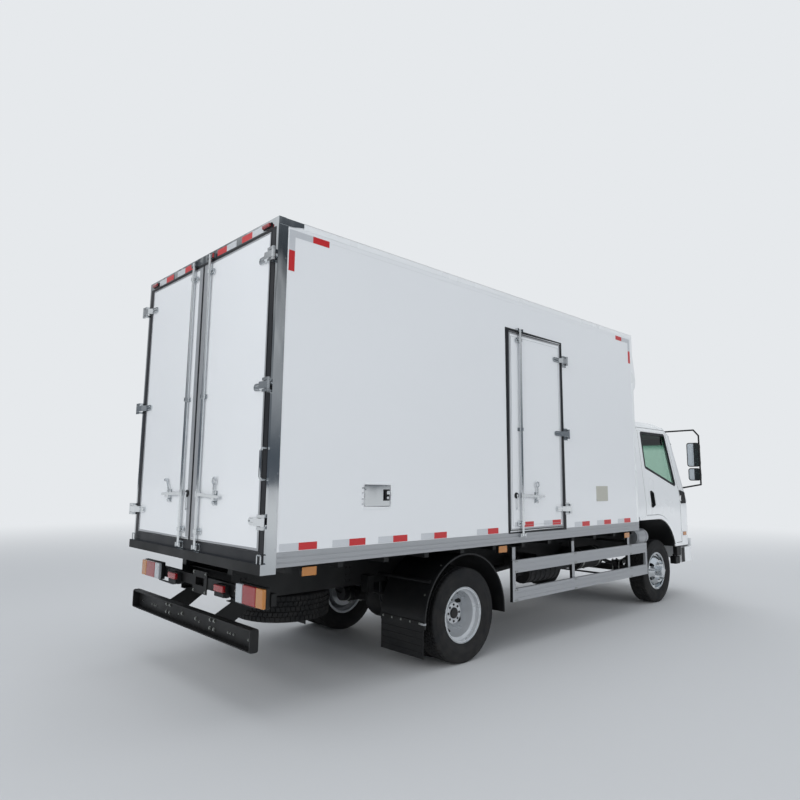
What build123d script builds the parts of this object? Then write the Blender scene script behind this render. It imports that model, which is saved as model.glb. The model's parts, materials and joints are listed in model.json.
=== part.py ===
from build123d import *
import math
import os

# Light forward-control truck with an insulated, refrigerated box body.
# Millimetres. +X is the truck's right, +Y its front, +Z up.
# The origin is on the ground, under the middle of the overall length and width.
os.makedirs("parts", exist_ok=True)

# Driving dimensions: the whole truck
wheelbase = 3980.0
rear_overhang = 2030.0
front_overhang = 1100.0
seat_clear = 0.3
pin_clear = 0.3

# Tyres and wheels
tyre_radius = 398.5
tyre_half_width = 117.5
tread_half_width = 100.0
tread_shoulder = 34.0
crown_drop = 9.0
sidewall_radius = 306.0
bead_height = 4.0
rim_seat_radius = 222.0
rim_flange_radius = 235.0
rim_half_width = 85.5
rim_lip = 6.0
rim_wall = 7.0
rim_well_radius = 200.0
rim_well_half = 40.0
rim_ledge = 55.0
disc_offset = 130.0
disc_thick = 10.0
disc_flat_radius = 138.0
stud_circle_radius = 111.0
stud_count = 6
hand_hole_radius = 24.0
hand_hole_circle = 167.0
hub_radius = 78.0
drum_radius = 160.0
rear_track_half = 825.0
front_wheel_x = 840.0

# Ladder frame
rail_outer_x = 425.0
rail_flange = 70.0
rail_depth = 200.0
rail_wall = 6.0
rail_top_z = 845.0
rail_rear_inset = 150.0
rail_front_inset = 330.0
cross_member_wide = 70.0

# Box body
box_length = 5180.0
box_half_width = 1125.0
box_top_z = 3380.0
roof_thick = 80.0
wall_thick = 80.0
floor_top_z = 1070.0
floor_thick = 95.0
bearer_depth = 50.0
rear_frame_depth = 80.0
post_width = 80.0
post_wrap = 2.0
sill_bottom_z = 932.0
rail_strip_thick = 25.0
rail_strip_proud = 3.0
rail_strip_bottom_z = 970.0

# Doors of the box
door_gap = 7.0
door_skin = 20.0
door_plug_inset = 15.0
door_thick = 80.0
door_seam_gap = 20.0
hinge_back = 42.0
hinge_out = 15.0
hinge_barrel_radius = 12.0
hinge_pin_radius = 7.0
hinge_barrel_height = 56.0
hinge_ear_height = 20.0
strap_half_thick = 8.0
strap_height = 50.0
lock_rod_radius = 13.5
lock_rod_off = 22.0
side_door_rear = 2610.0
side_door_front = 3530.0
side_door_bottom_z = 1085.0
side_door_top_z = 3010.0
side_hinge_ahead = 66.0
hatch_rear = 826.0
hatch_front = 1092.0
hatch_bottom_z = 1346.0
hatch_top_z = 1516.0
hatch_gap = 6.0
hatch_lid_thick = 6.0

# Cab
cab_rear = 5400.0
cab_wall = 45.0
cab_floor_z = 1070.0
cab_sill_z = 690.0
arch_start = 5930.0
arch_radius = 493.0
cab_panel_z = 790.0
cab_panel_start = 6930.0
tilt_pivot = (6880.0, 870.0)
tilt_pin_radius = 14.0
cab_door_gap = 6.0
cab_door_thick = 40.0
glass_thick = 5.0
bumper_face_thick = 45.0

# Steering
kingpin_x = 700.0
kingpin_radius = 16.0
spindle_radius = 30.0
track_rod_back = 170.0
track_rod_z = 300.0
track_rod_radius = 12.0

# Places that follow from the driving dimensions
hardware_proud = hinge_back + hinge_barrel_radius
overall_length = hardware_proud + rear_overhang + wheelbase + front_overhang
box_rear_y = -overall_length / 2 + hardware_proud
box_front_y = box_rear_y + box_length
rear_axle_y = box_rear_y + rear_overhang
front_axle_y = rear_axle_y + wheelbase
bumper_y = front_axle_y + front_overhang
axle_z = tyre_radius
rail_bottom_z = rail_top_z - rail_depth
rail_inner_x = rail_outer_x - rail_flange
floor_bottom_z = floor_top_z - floor_thick
bearer_bottom_z = floor_bottom_z - bearer_depth
wall_inner_x = box_half_width - wall_thick
roof_bottom_z = box_top_z - roof_thick
frame_front_y = box_rear_y + rear_frame_depth
rail_rear_y = box_rear_y + rail_rear_inset
rail_front_y = bumper_y - rail_front_inset
sides = {"left": -1, "right": 1}


def along(distance):
    """Y of a point given by its distance ahead of the box's rear face."""
    return box_rear_y + distance


def block(x_span, y_span, z_span, mode=Mode.ADD):
    """Add or cut a block between two limits on each axis."""
    spans = (x_span, y_span, z_span)
    centre = [(low + high) / 2 for low, high in spans]
    size = [abs(high - low) for low, high in spans]
    with Locations(tuple(centre)):
        Box(*size, mode=mode)


def bar(start, end, radius, mode=Mode.ADD):
    """Add or cut a round bar from one point to another."""
    axis = Vector(*end) - Vector(*start)
    with BuildSketch(Plane(origin=start, z_dir=axis)) as section:
        Circle(radius)
    extrude(section.sketch, amount=axis.length, mode=mode)


def side_plane(x):
    """Plane seen from the right: its axes are Y and Z, its normal +X."""
    return Plane(origin=(x, 0, 0), x_dir=(0, 1, 0), z_dir=(1, 0, 0))


def cross_plane(y):
    """Plane across the truck: its axes are X and Z, its normal -Y."""
    return Plane(origin=(0, y, 0), x_dir=(1, 0, 0), z_dir=(0, -1, 0))


def axle_plane(x, y, z, side):
    """Plane through an axle: its first axis points outwards, its second up."""
    return Plane(origin=(x * side, y, z), x_dir=(side, 0, 0), z_dir=(0, -side, 0))


def finish(piece, label):
    """Name a finished piece and write it out."""
    piece.part.label = label
    export_step(piece.part, f"parts/{label}.step")


def tyre_profile():
    """Half section of a tyre: first axis across it, second its radius."""
    bead = rim_half_width - seat_clear
    seat = rim_seat_radius + seat_clear
    foot = rim_flange_radius + bead_height
    edge = (tread_half_width, tyre_radius - crown_drop)
    crown = tread_half_width - tread_shoulder
    with BuildLine() as outline:
        Polyline((-bead, foot), (-bead, seat), (bead, seat), (bead, foot))
        ThreePointArc((bead, foot), (tyre_half_width, sidewall_radius), edge)
        Polyline(edge, (crown, tyre_radius), (-crown, tyre_radius), (-edge[0], edge[1]))
        ThreePointArc((-edge[0], edge[1]), (-tyre_half_width, sidewall_radius), (-bead, foot))
    make_face(outline.edges())


def rim_profile():
    """Half section of a drop-centre rim."""
    inner_seat = rim_seat_radius - rim_wall
    inner_well = rim_well_radius - rim_wall
    edge = rim_half_width + rim_lip
    with BuildLine() as outline:
        Polyline(
            (-edge, rim_flange_radius), (-rim_half_width, rim_flange_radius),
            (-rim_half_width, rim_seat_radius), (-rim_ledge, rim_seat_radius),
            (-rim_well_half, rim_well_radius), (rim_well_half, rim_well_radius),
            (rim_ledge, rim_seat_radius), (rim_half_width, rim_seat_radius),
            (rim_half_width, rim_flange_radius), (edge, rim_flange_radius),
            (edge, inner_seat), (rim_ledge - 3, inner_seat),
            (rim_well_half - 3, inner_well), (3 - rim_well_half, inner_well),
            (3 - rim_ledge, inner_seat), (-edge, inner_seat), close=True,
        )
    make_face(outline.edges())


def disc_profile(bore):
    """Half section of a wheel disc whose flat centre stands off the rim's middle."""
    flat = disc_offset - disc_thick
    well = rim_well_radius - rim_wall + 1
    with BuildLine() as outline:
        Polyline(
            (flat, bore), (disc_offset, bore), (disc_offset, disc_flat_radius),
            (80, 182), (36, well), (16, well), (72, 172), (flat, disc_flat_radius - 4), close=True,
        )
    make_face(outline.edges())


def hand_holes(x, y, z, side):
    """Cut the round of hand holes through a disc near x."""
    with BuildSketch(axle_side_plane(x, y, z, side)) as holes:
        with PolarLocations(hand_hole_circle, stud_count, start_angle=30):
            Circle(hand_hole_radius)
    extrude(holes.sketch, amount=60, both=True, mode=Mode.SUBTRACT)


def axle_side_plane(x, y, z, side):
    """Plane across an axle, its normal pointing outwards."""
    return Plane(origin=(x * side, y, z), x_dir=(0, 1, 0), z_dir=(side, 0, 0))


def turned(x, y, z, side):
    """Axis of an axle on one side."""
    return Axis((x * side, y, z), (side, 0, 0))


def axle_disc(x_from, x_to, radius, y, z, side, mode=Mode.ADD):
    """Add or cut a round disc about an axle between two distances from the middle."""
    with BuildSketch(axle_side_plane(x_from, y, z, side)) as section:
        Circle(radius)
    extrude(section.sketch, amount=x_to - x_from, mode=mode)


# Ladder frame: two channel rails and their cross members
cross_members = (250.0, 1250.0, 2900.0, 3700.0, 4550.0, 6700.0)
with BuildPart() as ladder_frame:
    for side in sides.values():
        web = rail_outer_x - rail_wall
        rail_y = (rail_rear_y, rail_front_y)
        block((side * rail_inner_x, side * rail_outer_x), rail_y, (rail_bottom_z, rail_top_z))
        block(
            (side * (rail_inner_x - 1), side * web), (rail_y[0] - 1, rail_y[1] + 1),
            (rail_bottom_z + rail_wall, rail_top_z - rail_wall), Mode.SUBTRACT,
        )
    for distance in cross_members:
        mid = along(distance)
        half = cross_member_wide / 2
        span = rail_outer_x - rail_wall / 2
        low = rail_bottom_z + 20
        high = rail_top_z - 20
        block((-span, span), (mid - half, mid + half), (low, high))
        block(
            (-span - 1 + rail_wall, span + 1 - rail_wall), (mid - half - 1, mid + half - rail_wall),
            (low + rail_wall, high - rail_wall), Mode.SUBTRACT,
        )
    for side in sides.values():
        # Tilt bracket: an upright on each rail's end with the pin pointing outwards
        pivot_y = along(tilt_pivot[0])
        with BuildSketch(side_plane(side * (rail_inner_x + 15))):
            with BuildLine():
                Polyline(
                    (rail_front_y - 180, rail_top_z - 40), (rail_front_y - 180, rail_top_z),
                    (pivot_y - 26, tilt_pivot[1] + 12), (pivot_y, tilt_pivot[1] + 28),
                    (pivot_y + 24, tilt_pivot[1]), (pivot_y + 4, tilt_pivot[1] - 30),
                    (rail_front_y - 4, rail_top_z - 60), close=True,
                )
            make_face()
        extrude(amount=side * (rail_flange - 15))
        bar(
            (side * (rail_outer_x - 10), pivot_y, tilt_pivot[1]),
            (side * (rail_outer_x + 38), pivot_y, tilt_pivot[1]), tilt_pin_radius,
        )
finish(ladder_frame, "ladder_frame")

# Engine: one plain block at its real place, under the cab between the rails
engine_rear = 5480.0
engine_front = 6360.0
engine_half_width = 270.0
engine_z = (560.0, 1050.0)
sump_half_width = 160.0
sump_bottom_z = 470.0
mount_z = (680.0, 760.0)
with BuildPart() as engine:
    block((-engine_half_width, engine_half_width), (along(engine_rear), along(engine_front)), engine_z)
    block(
        (-sump_half_width, sump_half_width), (along(engine_rear) + 60, along(engine_front) - 380),
        (sump_bottom_z, engine_z[0]),
    )
    fillet(engine.edges().filter_by(Axis.Z), 30)
    for side in sides.values():
        # Engine mount reaching the rail's inner face
        block(
            (side * (engine_half_width - 10), side * (rail_inner_x - seat_clear)),
            (along(engine_front) - 320, along(engine_front) - 220), mount_z,
        )
finish(engine, "engine")

# Gearbox and propeller shaft, from the engine to the rear axle
gearbox_rear = 4850.0
gearbox_tail_z = 600.0
crank_z = 680.0
shaft_front = (0, along(gearbox_rear) + 20, gearbox_tail_z)
shaft_radius = 42.0
bell_radius = 210.0
gearbox_radius = 150.0
axle_nose = 310.0
nose_z = axle_z + 10.0
with BuildPart() as driveline:
    bar((0, along(engine_rear) - seat_clear, crank_z), (0, along(engine_rear) - 170, crank_z), bell_radius)
    bar(
        (0, along(engine_rear) - 160, crank_z - 10), (0, along(gearbox_rear) + 150, gearbox_tail_z + 40),
        gearbox_radius,
    )
    bar((0, along(gearbox_rear) + 170, gearbox_tail_z + 20), (0, along(gearbox_rear), gearbox_tail_z), 90)
    yoke_y = rear_axle_y + axle_nose
    bar(shaft_front, (0, yoke_y + 40, nose_z), shaft_radius)
    bar((0, yoke_y + seat_clear, nose_z), (0, yoke_y + 46, nose_z), shaft_radius + 20)
finish(driveline, "driveline")

# Front axle: a dropped beam with a kingpin boss at each end
beam_half = 42.0
boss_radius = 34.0
boss_half_height = 58.0
front_spring_x = 390.0
front_spring_pad_z = 425.0
with BuildPart() as front_axle:
    with BuildSketch(cross_plane(front_axle_y)):
        with BuildLine():
            top = [(-kingpin_x, 435), (-600, 428), (-520, front_spring_pad_z - 4)]
            low = [(-520, 345), (-620, 362), (-kingpin_x, 366)]
            mirrored_top = [(-x, z) for x, z in reversed(top)]
            mirrored_low = [(-x, z) for x, z in reversed(low)]
            Polyline(*top, *mirrored_top, *mirrored_low, *low, close=True)
        make_face()
    extrude(amount=beam_half, both=True)
    for side in sides.values():
        for face in (-1, 1):
            # The beam's I-section: a hollow along each flank
            block(
                (side * 30, side * 610), (front_axle_y + face * 14, front_axle_y + face * (beam_half + 1)),
                (366, 404), Mode.SUBTRACT,
            )
        bar(
            (side * kingpin_x, front_axle_y, axle_z - boss_half_height),
            (side * kingpin_x, front_axle_y, axle_z + boss_half_height), boss_radius,
        )
        bar(
            (side * kingpin_x, front_axle_y, axle_z - boss_half_height - 5),
            (side * kingpin_x, front_axle_y, axle_z + boss_half_height + 5),
            kingpin_radius + pin_clear, Mode.SUBTRACT,
        )
        block(
            (side * (front_spring_x - 42), side * (front_spring_x + 42)),
            (front_axle_y - 70, front_axle_y + 70), (front_spring_pad_z - 20, front_spring_pad_z),
        )
finish(front_axle, "front_axle")

# Steering knuckles: fork, kingpin, spindle and steering arm
lug_thick = 24.0
lug_gap = 2.0
web_x = 752.0
for name, side in sides.items():
    with BuildPart() as knuckle:
        for end in (-1, 1):
            near = axle_z + end * (boss_half_height + lug_gap)
            far = near + end * lug_thick
            bar((side * kingpin_x, front_axle_y, near), (side * kingpin_x, front_axle_y, far), 32)
            block(
                (side * kingpin_x, side * (web_x + 10)), (front_axle_y - 30, front_axle_y + 30), (near, far),
            )
        block(
            (side * web_x, side * (web_x + 16)), (front_axle_y - 55, front_axle_y + 55),
            (axle_z - boss_half_height - lug_gap - lug_thick, axle_z + boss_half_height + lug_gap + lug_thick),
        )
        bar(
            (side * kingpin_x, front_axle_y, axle_z - boss_half_height - lug_gap - 2),
            (side * kingpin_x, front_axle_y, axle_z + boss_half_height + lug_gap + 2), kingpin_radius,
        )
        axle_disc(web_x + 10, 930, spindle_radius, front_axle_y, axle_z, side)
        arm_top = axle_z - boss_half_height - lug_gap
        block(
            (side * (kingpin_x - 20), side * (kingpin_x + 14)),
            (front_axle_y - track_rod_back, front_axle_y), (arm_top - lug_thick, arm_top),
        )
        bar(
            (side * kingpin_x, front_axle_y - track_rod_back, track_rod_z - 14),
            (side * kingpin_x, front_axle_y - track_rod_back, arm_top), 11,
        )
    finish(knuckle, f"knuckle_{name}")

# Track rod between the two steering arms
with BuildPart() as track_rod:
    rod_y = front_axle_y - track_rod_back
    bar((-kingpin_x, rod_y, track_rod_z), (kingpin_x, rod_y, track_rod_z), track_rod_radius)
    for side in sides.values():
        bar((side * kingpin_x, rod_y, track_rod_z - 14), (side * kingpin_x, rod_y, track_rod_z + 14), 20)
        bar(
            (side * kingpin_x, rod_y, track_rod_z - 20), (side * kingpin_x, rod_y, track_rod_z + 20),
            11 + pin_clear, Mode.SUBTRACT,
        )
finish(track_rod, "track_rod")

# Rear axle: housing tube, differential and wheel spindles
housing_radius = 62.0
case_radius = 172.0
case_half = 150.0
case_end = math.sqrt(case_radius ** 2 - case_half ** 2)
with BuildPart() as rear_axle:
    for side in sides.values():
        axle_disc(0, 600, housing_radius, rear_axle_y, axle_z, side)
        axle_disc(590, 900, spindle_radius, rear_axle_y, axle_z, side)
    with BuildSketch(Plane(origin=(0, rear_axle_y, axle_z), x_dir=(1, 0, 0), z_dir=(0, -1, 0))):
        with BuildLine():
            Line((-case_half, 0), (case_half, 0))
            Line((case_half, 0), (case_half, case_end))
            ThreePointArc((case_half, case_end), (0, case_radius), (-case_half, case_end))
            Line((-case_half, case_end), (-case_half, 0))
        make_face()
    revolve(axis=Axis((0, rear_axle_y, axle_z), (1, 0, 0)))
    bar((0, rear_axle_y, nose_z), (0, rear_axle_y + axle_nose, nose_z), 88)
finish(rear_axle, "rear_axle")


def leaf_pack(x, centre_y, reach, seat_z, eye_z):
    """Three arched leaves on a seat, with an eye bracket at each end."""
    for leaf, share in enumerate((0.5, 0.75, 1.0)):
        half = reach * share
        rise = (eye_z - seat_z) * share * share
        low = seat_z + leaf * 14.0
        with BuildSketch(side_plane(x - 35)) as section:
            with BuildLine():
                ThreePointArc((centre_y - half, low + rise), (centre_y, low), (centre_y + half, low + rise))
                Line((centre_y + half, low + rise), (centre_y + half, low + rise + 15))
                ThreePointArc(
                    (centre_y + half, low + rise + 15), (centre_y, low + 15), (centre_y - half, low + rise + 15),
                )
                Line((centre_y - half, low + rise + 15), (centre_y - half, low + rise))
            make_face()
        extrude(section.sketch, amount=70)


rear_spring_x = 478.0
rear_spring_reach = 620.0
rear_spring_seat_z = axle_z + housing_radius
front_spring_reach = 560.0
spring_eye_drop = 70.0
with BuildPart() as leaf_springs:
    for side in sides.values():
        eye_z = rail_bottom_z - spring_eye_drop
        leaf_pack(side * rear_spring_x, rear_axle_y, rear_spring_reach, rear_spring_seat_z, eye_z)
        for end in (-1, 1):
            eye_y = rear_axle_y + end * (rear_spring_reach - 20)
            block(
                (side * (rail_outer_x + seat_clear), side * (rear_spring_x + 35)),
                (eye_y - 35, eye_y + 35), (eye_z + 10, rail_bottom_z + 80),
            )
        front_eye_z = rail_bottom_z - 75
        leaf_pack(side * front_spring_x, front_axle_y, front_spring_reach, front_spring_pad_z, front_eye_z)
        for end in (-1, 1):
            eye_y = front_axle_y + end * (front_spring_reach - 20)
            block(
                (side * (front_spring_x - 30), side * (front_spring_x + 30)),
                (eye_y - 35, eye_y + 35), (front_eye_z + 10, rail_bottom_z - seat_clear),
            )
finish(leaf_springs, "leaf_springs")

# Tyres and wheels
front_wheel_places = [front_wheel_x]
rear_wheel_places = [rear_track_half - disc_offset, rear_track_half + disc_offset]
for name, side in sides.items():
    for end, axle_y, places in (
        ("front", front_axle_y, front_wheel_places), ("rear", rear_axle_y, rear_wheel_places),
    ):
        with BuildPart() as tyres:
            for place in places:
                with BuildSketch(axle_plane(place, axle_y, axle_z, side)):
                    tyre_profile()
                revolve(axis=turned(0, axle_y, axle_z, side))
        finish(tyres, f"{end}_tyre_{name}")

    with BuildPart() as front_wheel:
        disc_face = front_wheel_x + disc_offset
        with BuildSketch(axle_plane(front_wheel_x, front_axle_y, axle_z, side)):
            rim_profile()
            disc_profile(60)
        revolve(axis=turned(0, front_axle_y, axle_z, side))
        hand_holes(disc_face - 40, front_axle_y, axle_z, side)
        axle_disc(800, disc_face - disc_thick, disc_flat_radius - 6, front_axle_y, axle_z, side)
        axle_disc(772, 860, drum_radius, front_axle_y, axle_z, side)
        axle_disc(disc_face - disc_thick, disc_face + 44, hub_radius - 16, front_axle_y, axle_z, side)
        with BuildSketch(axle_side_plane(disc_face, front_axle_y, axle_z, side)):
            with PolarLocations(stud_circle_radius, stud_count):
                RegularPolygon(18, 6)
        extrude(amount=24)
        axle_disc(760, 940, spindle_radius + pin_clear, front_axle_y, axle_z, side, Mode.SUBTRACT)
    finish(front_wheel, f"front_wheel_{name}")

    with BuildPart() as rear_wheels:
        for place, facing in ((rear_wheel_places[0], 1), (rear_wheel_places[1], -1)):
            plane = Plane(
                origin=(side * place, rear_axle_y, axle_z),
                x_dir=(side * facing, 0, 0), z_dir=(0, -side * facing, 0),
            )
            with BuildSketch(plane):
                rim_profile()
                disc_profile(hub_radius - 2)
            revolve(axis=turned(0, rear_axle_y, axle_z, side))
        hand_holes(rear_track_half, rear_axle_y, axle_z, side)
        axle_disc(616, 760, drum_radius, rear_axle_y, axle_z, side)
        axle_disc(700, rear_track_half - disc_thick, disc_flat_radius - 6, rear_axle_y, axle_z, side)
        axle_disc(rear_track_half - 20, rear_track_half + 110, hub_radius, rear_axle_y, axle_z, side)
        axle_disc(rear_track_half + 96, rear_track_half + 112, hub_radius + 12, rear_axle_y, axle_z, side)
        with BuildSketch(axle_side_plane(rear_track_half + disc_thick, rear_axle_y, axle_z, side)):
            with PolarLocations(stud_circle_radius, stud_count):
                RegularPolygon(18, 6)
        extrude(amount=26)
        axle_disc(610, 910, spindle_radius + pin_clear, rear_axle_y, axle_z, side, Mode.SUBTRACT)
    finish(rear_wheels, f"rear_wheels_{name}")

# Spare wheel lying flat under the rear overhang, on its carrier
spare_y = along(870)
spare_z = rail_bottom_z - 12 - tyre_half_width
spare_plane = Plane(origin=(0, spare_y, spare_z), x_dir=(0, 0, -1), z_dir=(0, -1, 0))
with BuildPart() as spare_tyre:
    with BuildSketch(spare_plane):
        tyre_profile()
    revolve(axis=Axis((0, spare_y, spare_z), (0, 0, 1)))
finish(spare_tyre, "spare_tyre")

with BuildPart() as spare_wheel:
    with BuildSketch(spare_plane):
        rim_profile()
        disc_profile(60)
    revolve(axis=Axis((0, spare_y, spare_z), (0, 0, 1)))
    block((-110, 110), (spare_y - 30, spare_y + 30), (spare_z - disc_offset, spare_z - disc_offset + 12))
    bar((0, spare_y, spare_z - disc_offset), (0, spare_y, rail_bottom_z + 20), 20)
    block(
        (-rail_outer_x + rail_wall + seat_clear, rail_outer_x - rail_wall - seat_clear),
        (spare_y - 35, spare_y + 35),
        (rail_bottom_z + rail_wall + seat_clear, rail_bottom_z + 50),
    )
finish(spare_wheel, "spare_wheel")

# Fuel tank on the left rail, under the box
tank_x = (-800.0, -rail_outer_x - 30.0)
tank_span = (3450.0, 4350.0)
tank_z = (440.0, 820.0)
tank_brackets = (3600.0, 4200.0)
with BuildPart() as fuel_tank:
    block(tank_x, (along(tank_span[0]), along(tank_span[1])), tank_z)
    fillet(fuel_tank.edges().filter_by(Axis.Y), 60)
    for distance in tank_brackets:
        block(
            (tank_x[1] - 10, -rail_outer_x - seat_clear), (along(distance) - 25, along(distance) + 25),
            (tank_z[0] + 60, tank_z[1] - 20),
        )
finish(fuel_tank, "fuel_tank")

# Stores hung on the rails: battery box, air tanks and air cleaner
battery_span = (4500.0, 5050.0)
battery_z = (500.0, 800.0)
air_tank_x = 620.0
air_tank_z = 640.0
air_tank_radius = 125.0
# Columns: side, rear end, front end
air_tanks = ((-1, 2950.0, 3330.0), (1, 4480.0, 4980.0))
cleaner_radius = 92.0
cleaner_x = 950.0
cleaner_z = 870.0
cleaner_span = (5300.0, 5590.0)
with BuildPart() as frame_stores:
    block((-820, -rail_outer_x - seat_clear), (along(battery_span[0]), along(battery_span[1])), battery_z)
    fillet(frame_stores.edges().filter_by(Axis.Y), 16)
    for side, low, high in air_tanks:
        tank_at = side * air_tank_x
        bar((tank_at, along(low), air_tank_z), (tank_at, along(high), air_tank_z), air_tank_radius)
        block(
            (side * (rail_outer_x + seat_clear), side * (air_tank_x - 100)), (along(low) + 100, along(low) + 140),
            (air_tank_z - 40, air_tank_z + 120),
        )
    # Air cleaner behind the cab's right rear corner, with two bands, on an arm from the rail
    rear_end, front_end = (along(distance) for distance in cleaner_span)
    bar((cleaner_x, rear_end, cleaner_z), (cleaner_x, front_end, cleaner_z), cleaner_radius)
    for band_y in (rear_end + 30, front_end - 50):
        bar((cleaner_x, band_y, cleaner_z), (cleaner_x, band_y + 20, cleaner_z), cleaner_radius + 5)
    block(
        (rail_outer_x + seat_clear, cleaner_x - 20), (rear_end + 100, rear_end + 140),
        (cleaner_z - 80, cleaner_z - 55),
    )
finish(frame_stores, "frame_stores")

# Exhaust canister on the right rail with its ribs and pipes
canister_radius = 118.0
canister_ribs = 6
canister_rib_pitch = 90.0
canister_x = 690.0
canister_z = 600.0
canister_span = (3350.0, 3900.0)
pipe_radius = 38.0


def canister_bar(rear, front, radius):
    """Round bar on the canister's own line, between two distances."""
    bar((canister_x, along(rear), canister_z), (canister_x, along(front), canister_z), radius)


with BuildPart() as exhaust:
    canister_bar(*canister_span, canister_radius)
    for index in range(canister_ribs):
        rib = canister_span[0] + 30 + index * canister_rib_pitch
        canister_bar(rib, rib + 12, canister_radius + 5)
    canister_bar(canister_span[0] - 100, canister_span[0], pipe_radius + 7)
    canister_bar(canister_span[1] - 10, canister_span[1] + 500, pipe_radius)
    for distance in (canister_span[0] + 90, canister_span[1] - 100):
        block(
            (rail_outer_x + seat_clear, canister_x - 90), (along(distance) - 20, along(distance) + 20),
            (canister_z + 40, canister_z + 140),
        )
finish(exhaust, "exhaust")

# Rear fenders: half-round shells over the twin tyres, on tube arms, with mud flaps
fender_radius = 518.0
fender_thick = 8.0
fender_start = -4.0
fender_turn = 188.0
fender_lip_wide = 22.0
fender_lip_high = 7.0
fender_inner_x = 556.0
fender_outer_x = box_half_width - 29.0
with BuildPart() as rear_fenders:
    for side in sides.values():
        with BuildSketch(side_plane(side * fender_inner_x)):
            with BuildLine():
                CenterArc((rear_axle_y, axle_z), fender_radius, fender_start, fender_turn)
                CenterArc((rear_axle_y, axle_z), fender_radius - fender_thick, fender_start, fender_turn)
                for angle in (fender_start, fender_start + fender_turn):
                    turn = math.radians(angle)
                    Line(
                        (rear_axle_y + fender_radius * math.cos(turn), axle_z + fender_radius * math.sin(turn)),
                        (
                            rear_axle_y + (fender_radius - fender_thick) * math.cos(turn),
                            axle_z + (fender_radius - fender_thick) * math.sin(turn),
                        ),
                    )
            make_face()
        extrude(amount=side * (fender_outer_x - fender_inner_x))
        with BuildSketch(side_plane(side * (fender_outer_x - fender_lip_wide))):
            with BuildLine():
                first = math.radians(fender_start)
                last = math.radians(fender_start + fender_turn)
                inner = fender_radius - fender_thick / 2
                outer = fender_radius + fender_lip_high
                CenterArc((rear_axle_y, axle_z), outer, fender_start, fender_turn)
                CenterArc((rear_axle_y, axle_z), inner, fender_start, fender_turn)
                for turn in (first, last):
                    Line(
                        (rear_axle_y + outer * math.cos(turn), axle_z + outer * math.sin(turn)),
                        (rear_axle_y + inner * math.cos(turn), axle_z + inner * math.sin(turn)),
                    )
            make_face()
        extrude(amount=side * fender_lip_wide)
        for end in (-1, 1):
            arm_y = rear_axle_y + end * 424
            bar(
                (side * (rail_outer_x + seat_clear), arm_y, 720), (side * (fender_outer_x - 30), arm_y, 720), 17,
            )
        flap_y = rear_axle_y - fender_radius + 4
        block(
            (side * (fender_inner_x + 10), side * (fender_outer_x - 20)), (flap_y - 6, flap_y), (130, 420),
        )
finish(rear_fenders, "rear_fenders")

# Side guards: two rails and end uprights a side, on posts under the cross bearers
guard_outer_x = box_half_width - 31.0
guard_thick = 28.0
guard_rear = 2680.0
guard_front = 5425.0
guard_rails = ((430.0, 545.0), (690.0, 806.0))
guard_posts = (2740.0, 3780.0, 5010.0)
for name, side in sides.items():
    with BuildPart() as side_guard:
        inner = guard_outer_x - guard_thick
        for low, high in guard_rails:
            block((side * inner, side * guard_outer_x), (along(guard_rear), along(guard_front)), (low, high))
            for share in (0.25, 0.65):
                groove = low + share * (high - low)
                block(
                    (side * (guard_outer_x - 3), side * (guard_outer_x + 1)),
                    (along(guard_rear + 45), along(guard_front - 45)), (groove, groove + 10), Mode.SUBTRACT,
                )
        for low, high in ((guard_rear, guard_rear + 45), (guard_front - 45, guard_front)):
            block(
                (side * inner, side * guard_outer_x), (along(low), along(high)),
                (guard_rails[0][0], guard_rails[1][1]),
            )
        for distance in guard_posts:
            block(
                (side * (inner - 30), side * inner), (along(distance) - 25, along(distance) + 25),
                (guard_rails[0][0] + 10, bearer_bottom_z - seat_clear),
            )
    finish(side_guard, f"side_guard_{name}")

# Rear underrun bar with its hangers, the lamp bar and the plate bracket
underrun_half = 1000.0
underrun_z = (430.0, 572.0)
underrun_deep = 60.0
underrun_rear_y = box_rear_y - 18.0
underrun_front_y = underrun_rear_y + underrun_deep
hanger_x = 380.0
hanger_thick = 12.0
lamp_bar_half = 1040.0
lamp_bar_z = (710.0, 790.0)
lamp_bar_y = (rail_rear_y - 40, rail_rear_y - seat_clear)
with BuildPart() as underrun:
    block((-underrun_half, underrun_half), (underrun_rear_y, underrun_front_y), underrun_z)
    block(
        (-underrun_half + 6, underrun_half - 6), (underrun_rear_y - 1, underrun_front_y - 8),
        (underrun_z[0] + 8, underrun_z[1] - 8), Mode.SUBTRACT,
    )
    for side in sides.values():
        # Hanger: a sloping plate from the bar's back up to the frame rail
        with BuildSketch(side_plane(side * hanger_x)):
            with BuildLine():
                Polyline(
                    (underrun_front_y - 4, underrun_z[0] + 20), (underrun_front_y + 90, underrun_z[0] + 20),
                    (along(420), rail_bottom_z - seat_clear), (along(190), rail_bottom_z - seat_clear),
                    (underrun_front_y - 4, underrun_z[1] - 10), close=True,
                )
            make_face()
        extrude(amount=side * hanger_thick)
    block((-lamp_bar_half, lamp_bar_half), lamp_bar_y, lamp_bar_z)
    # Plate bracket: a blank square frame with a rectangular hole
    block((-120, 120), (lamp_bar_y[0] - 6, lamp_bar_y[0]), (660, 830))
    block((-70, 70), (lamp_bar_y[0] - 7, lamp_bar_y[1] + 1), (720, 780), Mode.SUBTRACT)
finish(underrun, "underrun")

# Lamps: wide and small units on the lamp bar, header markers, side markers under the box
marker_places = (360.0, 2520.0, 4900.0)
marker_z = (895.0, 955.0)
lamp_deep = 60.0
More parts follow.
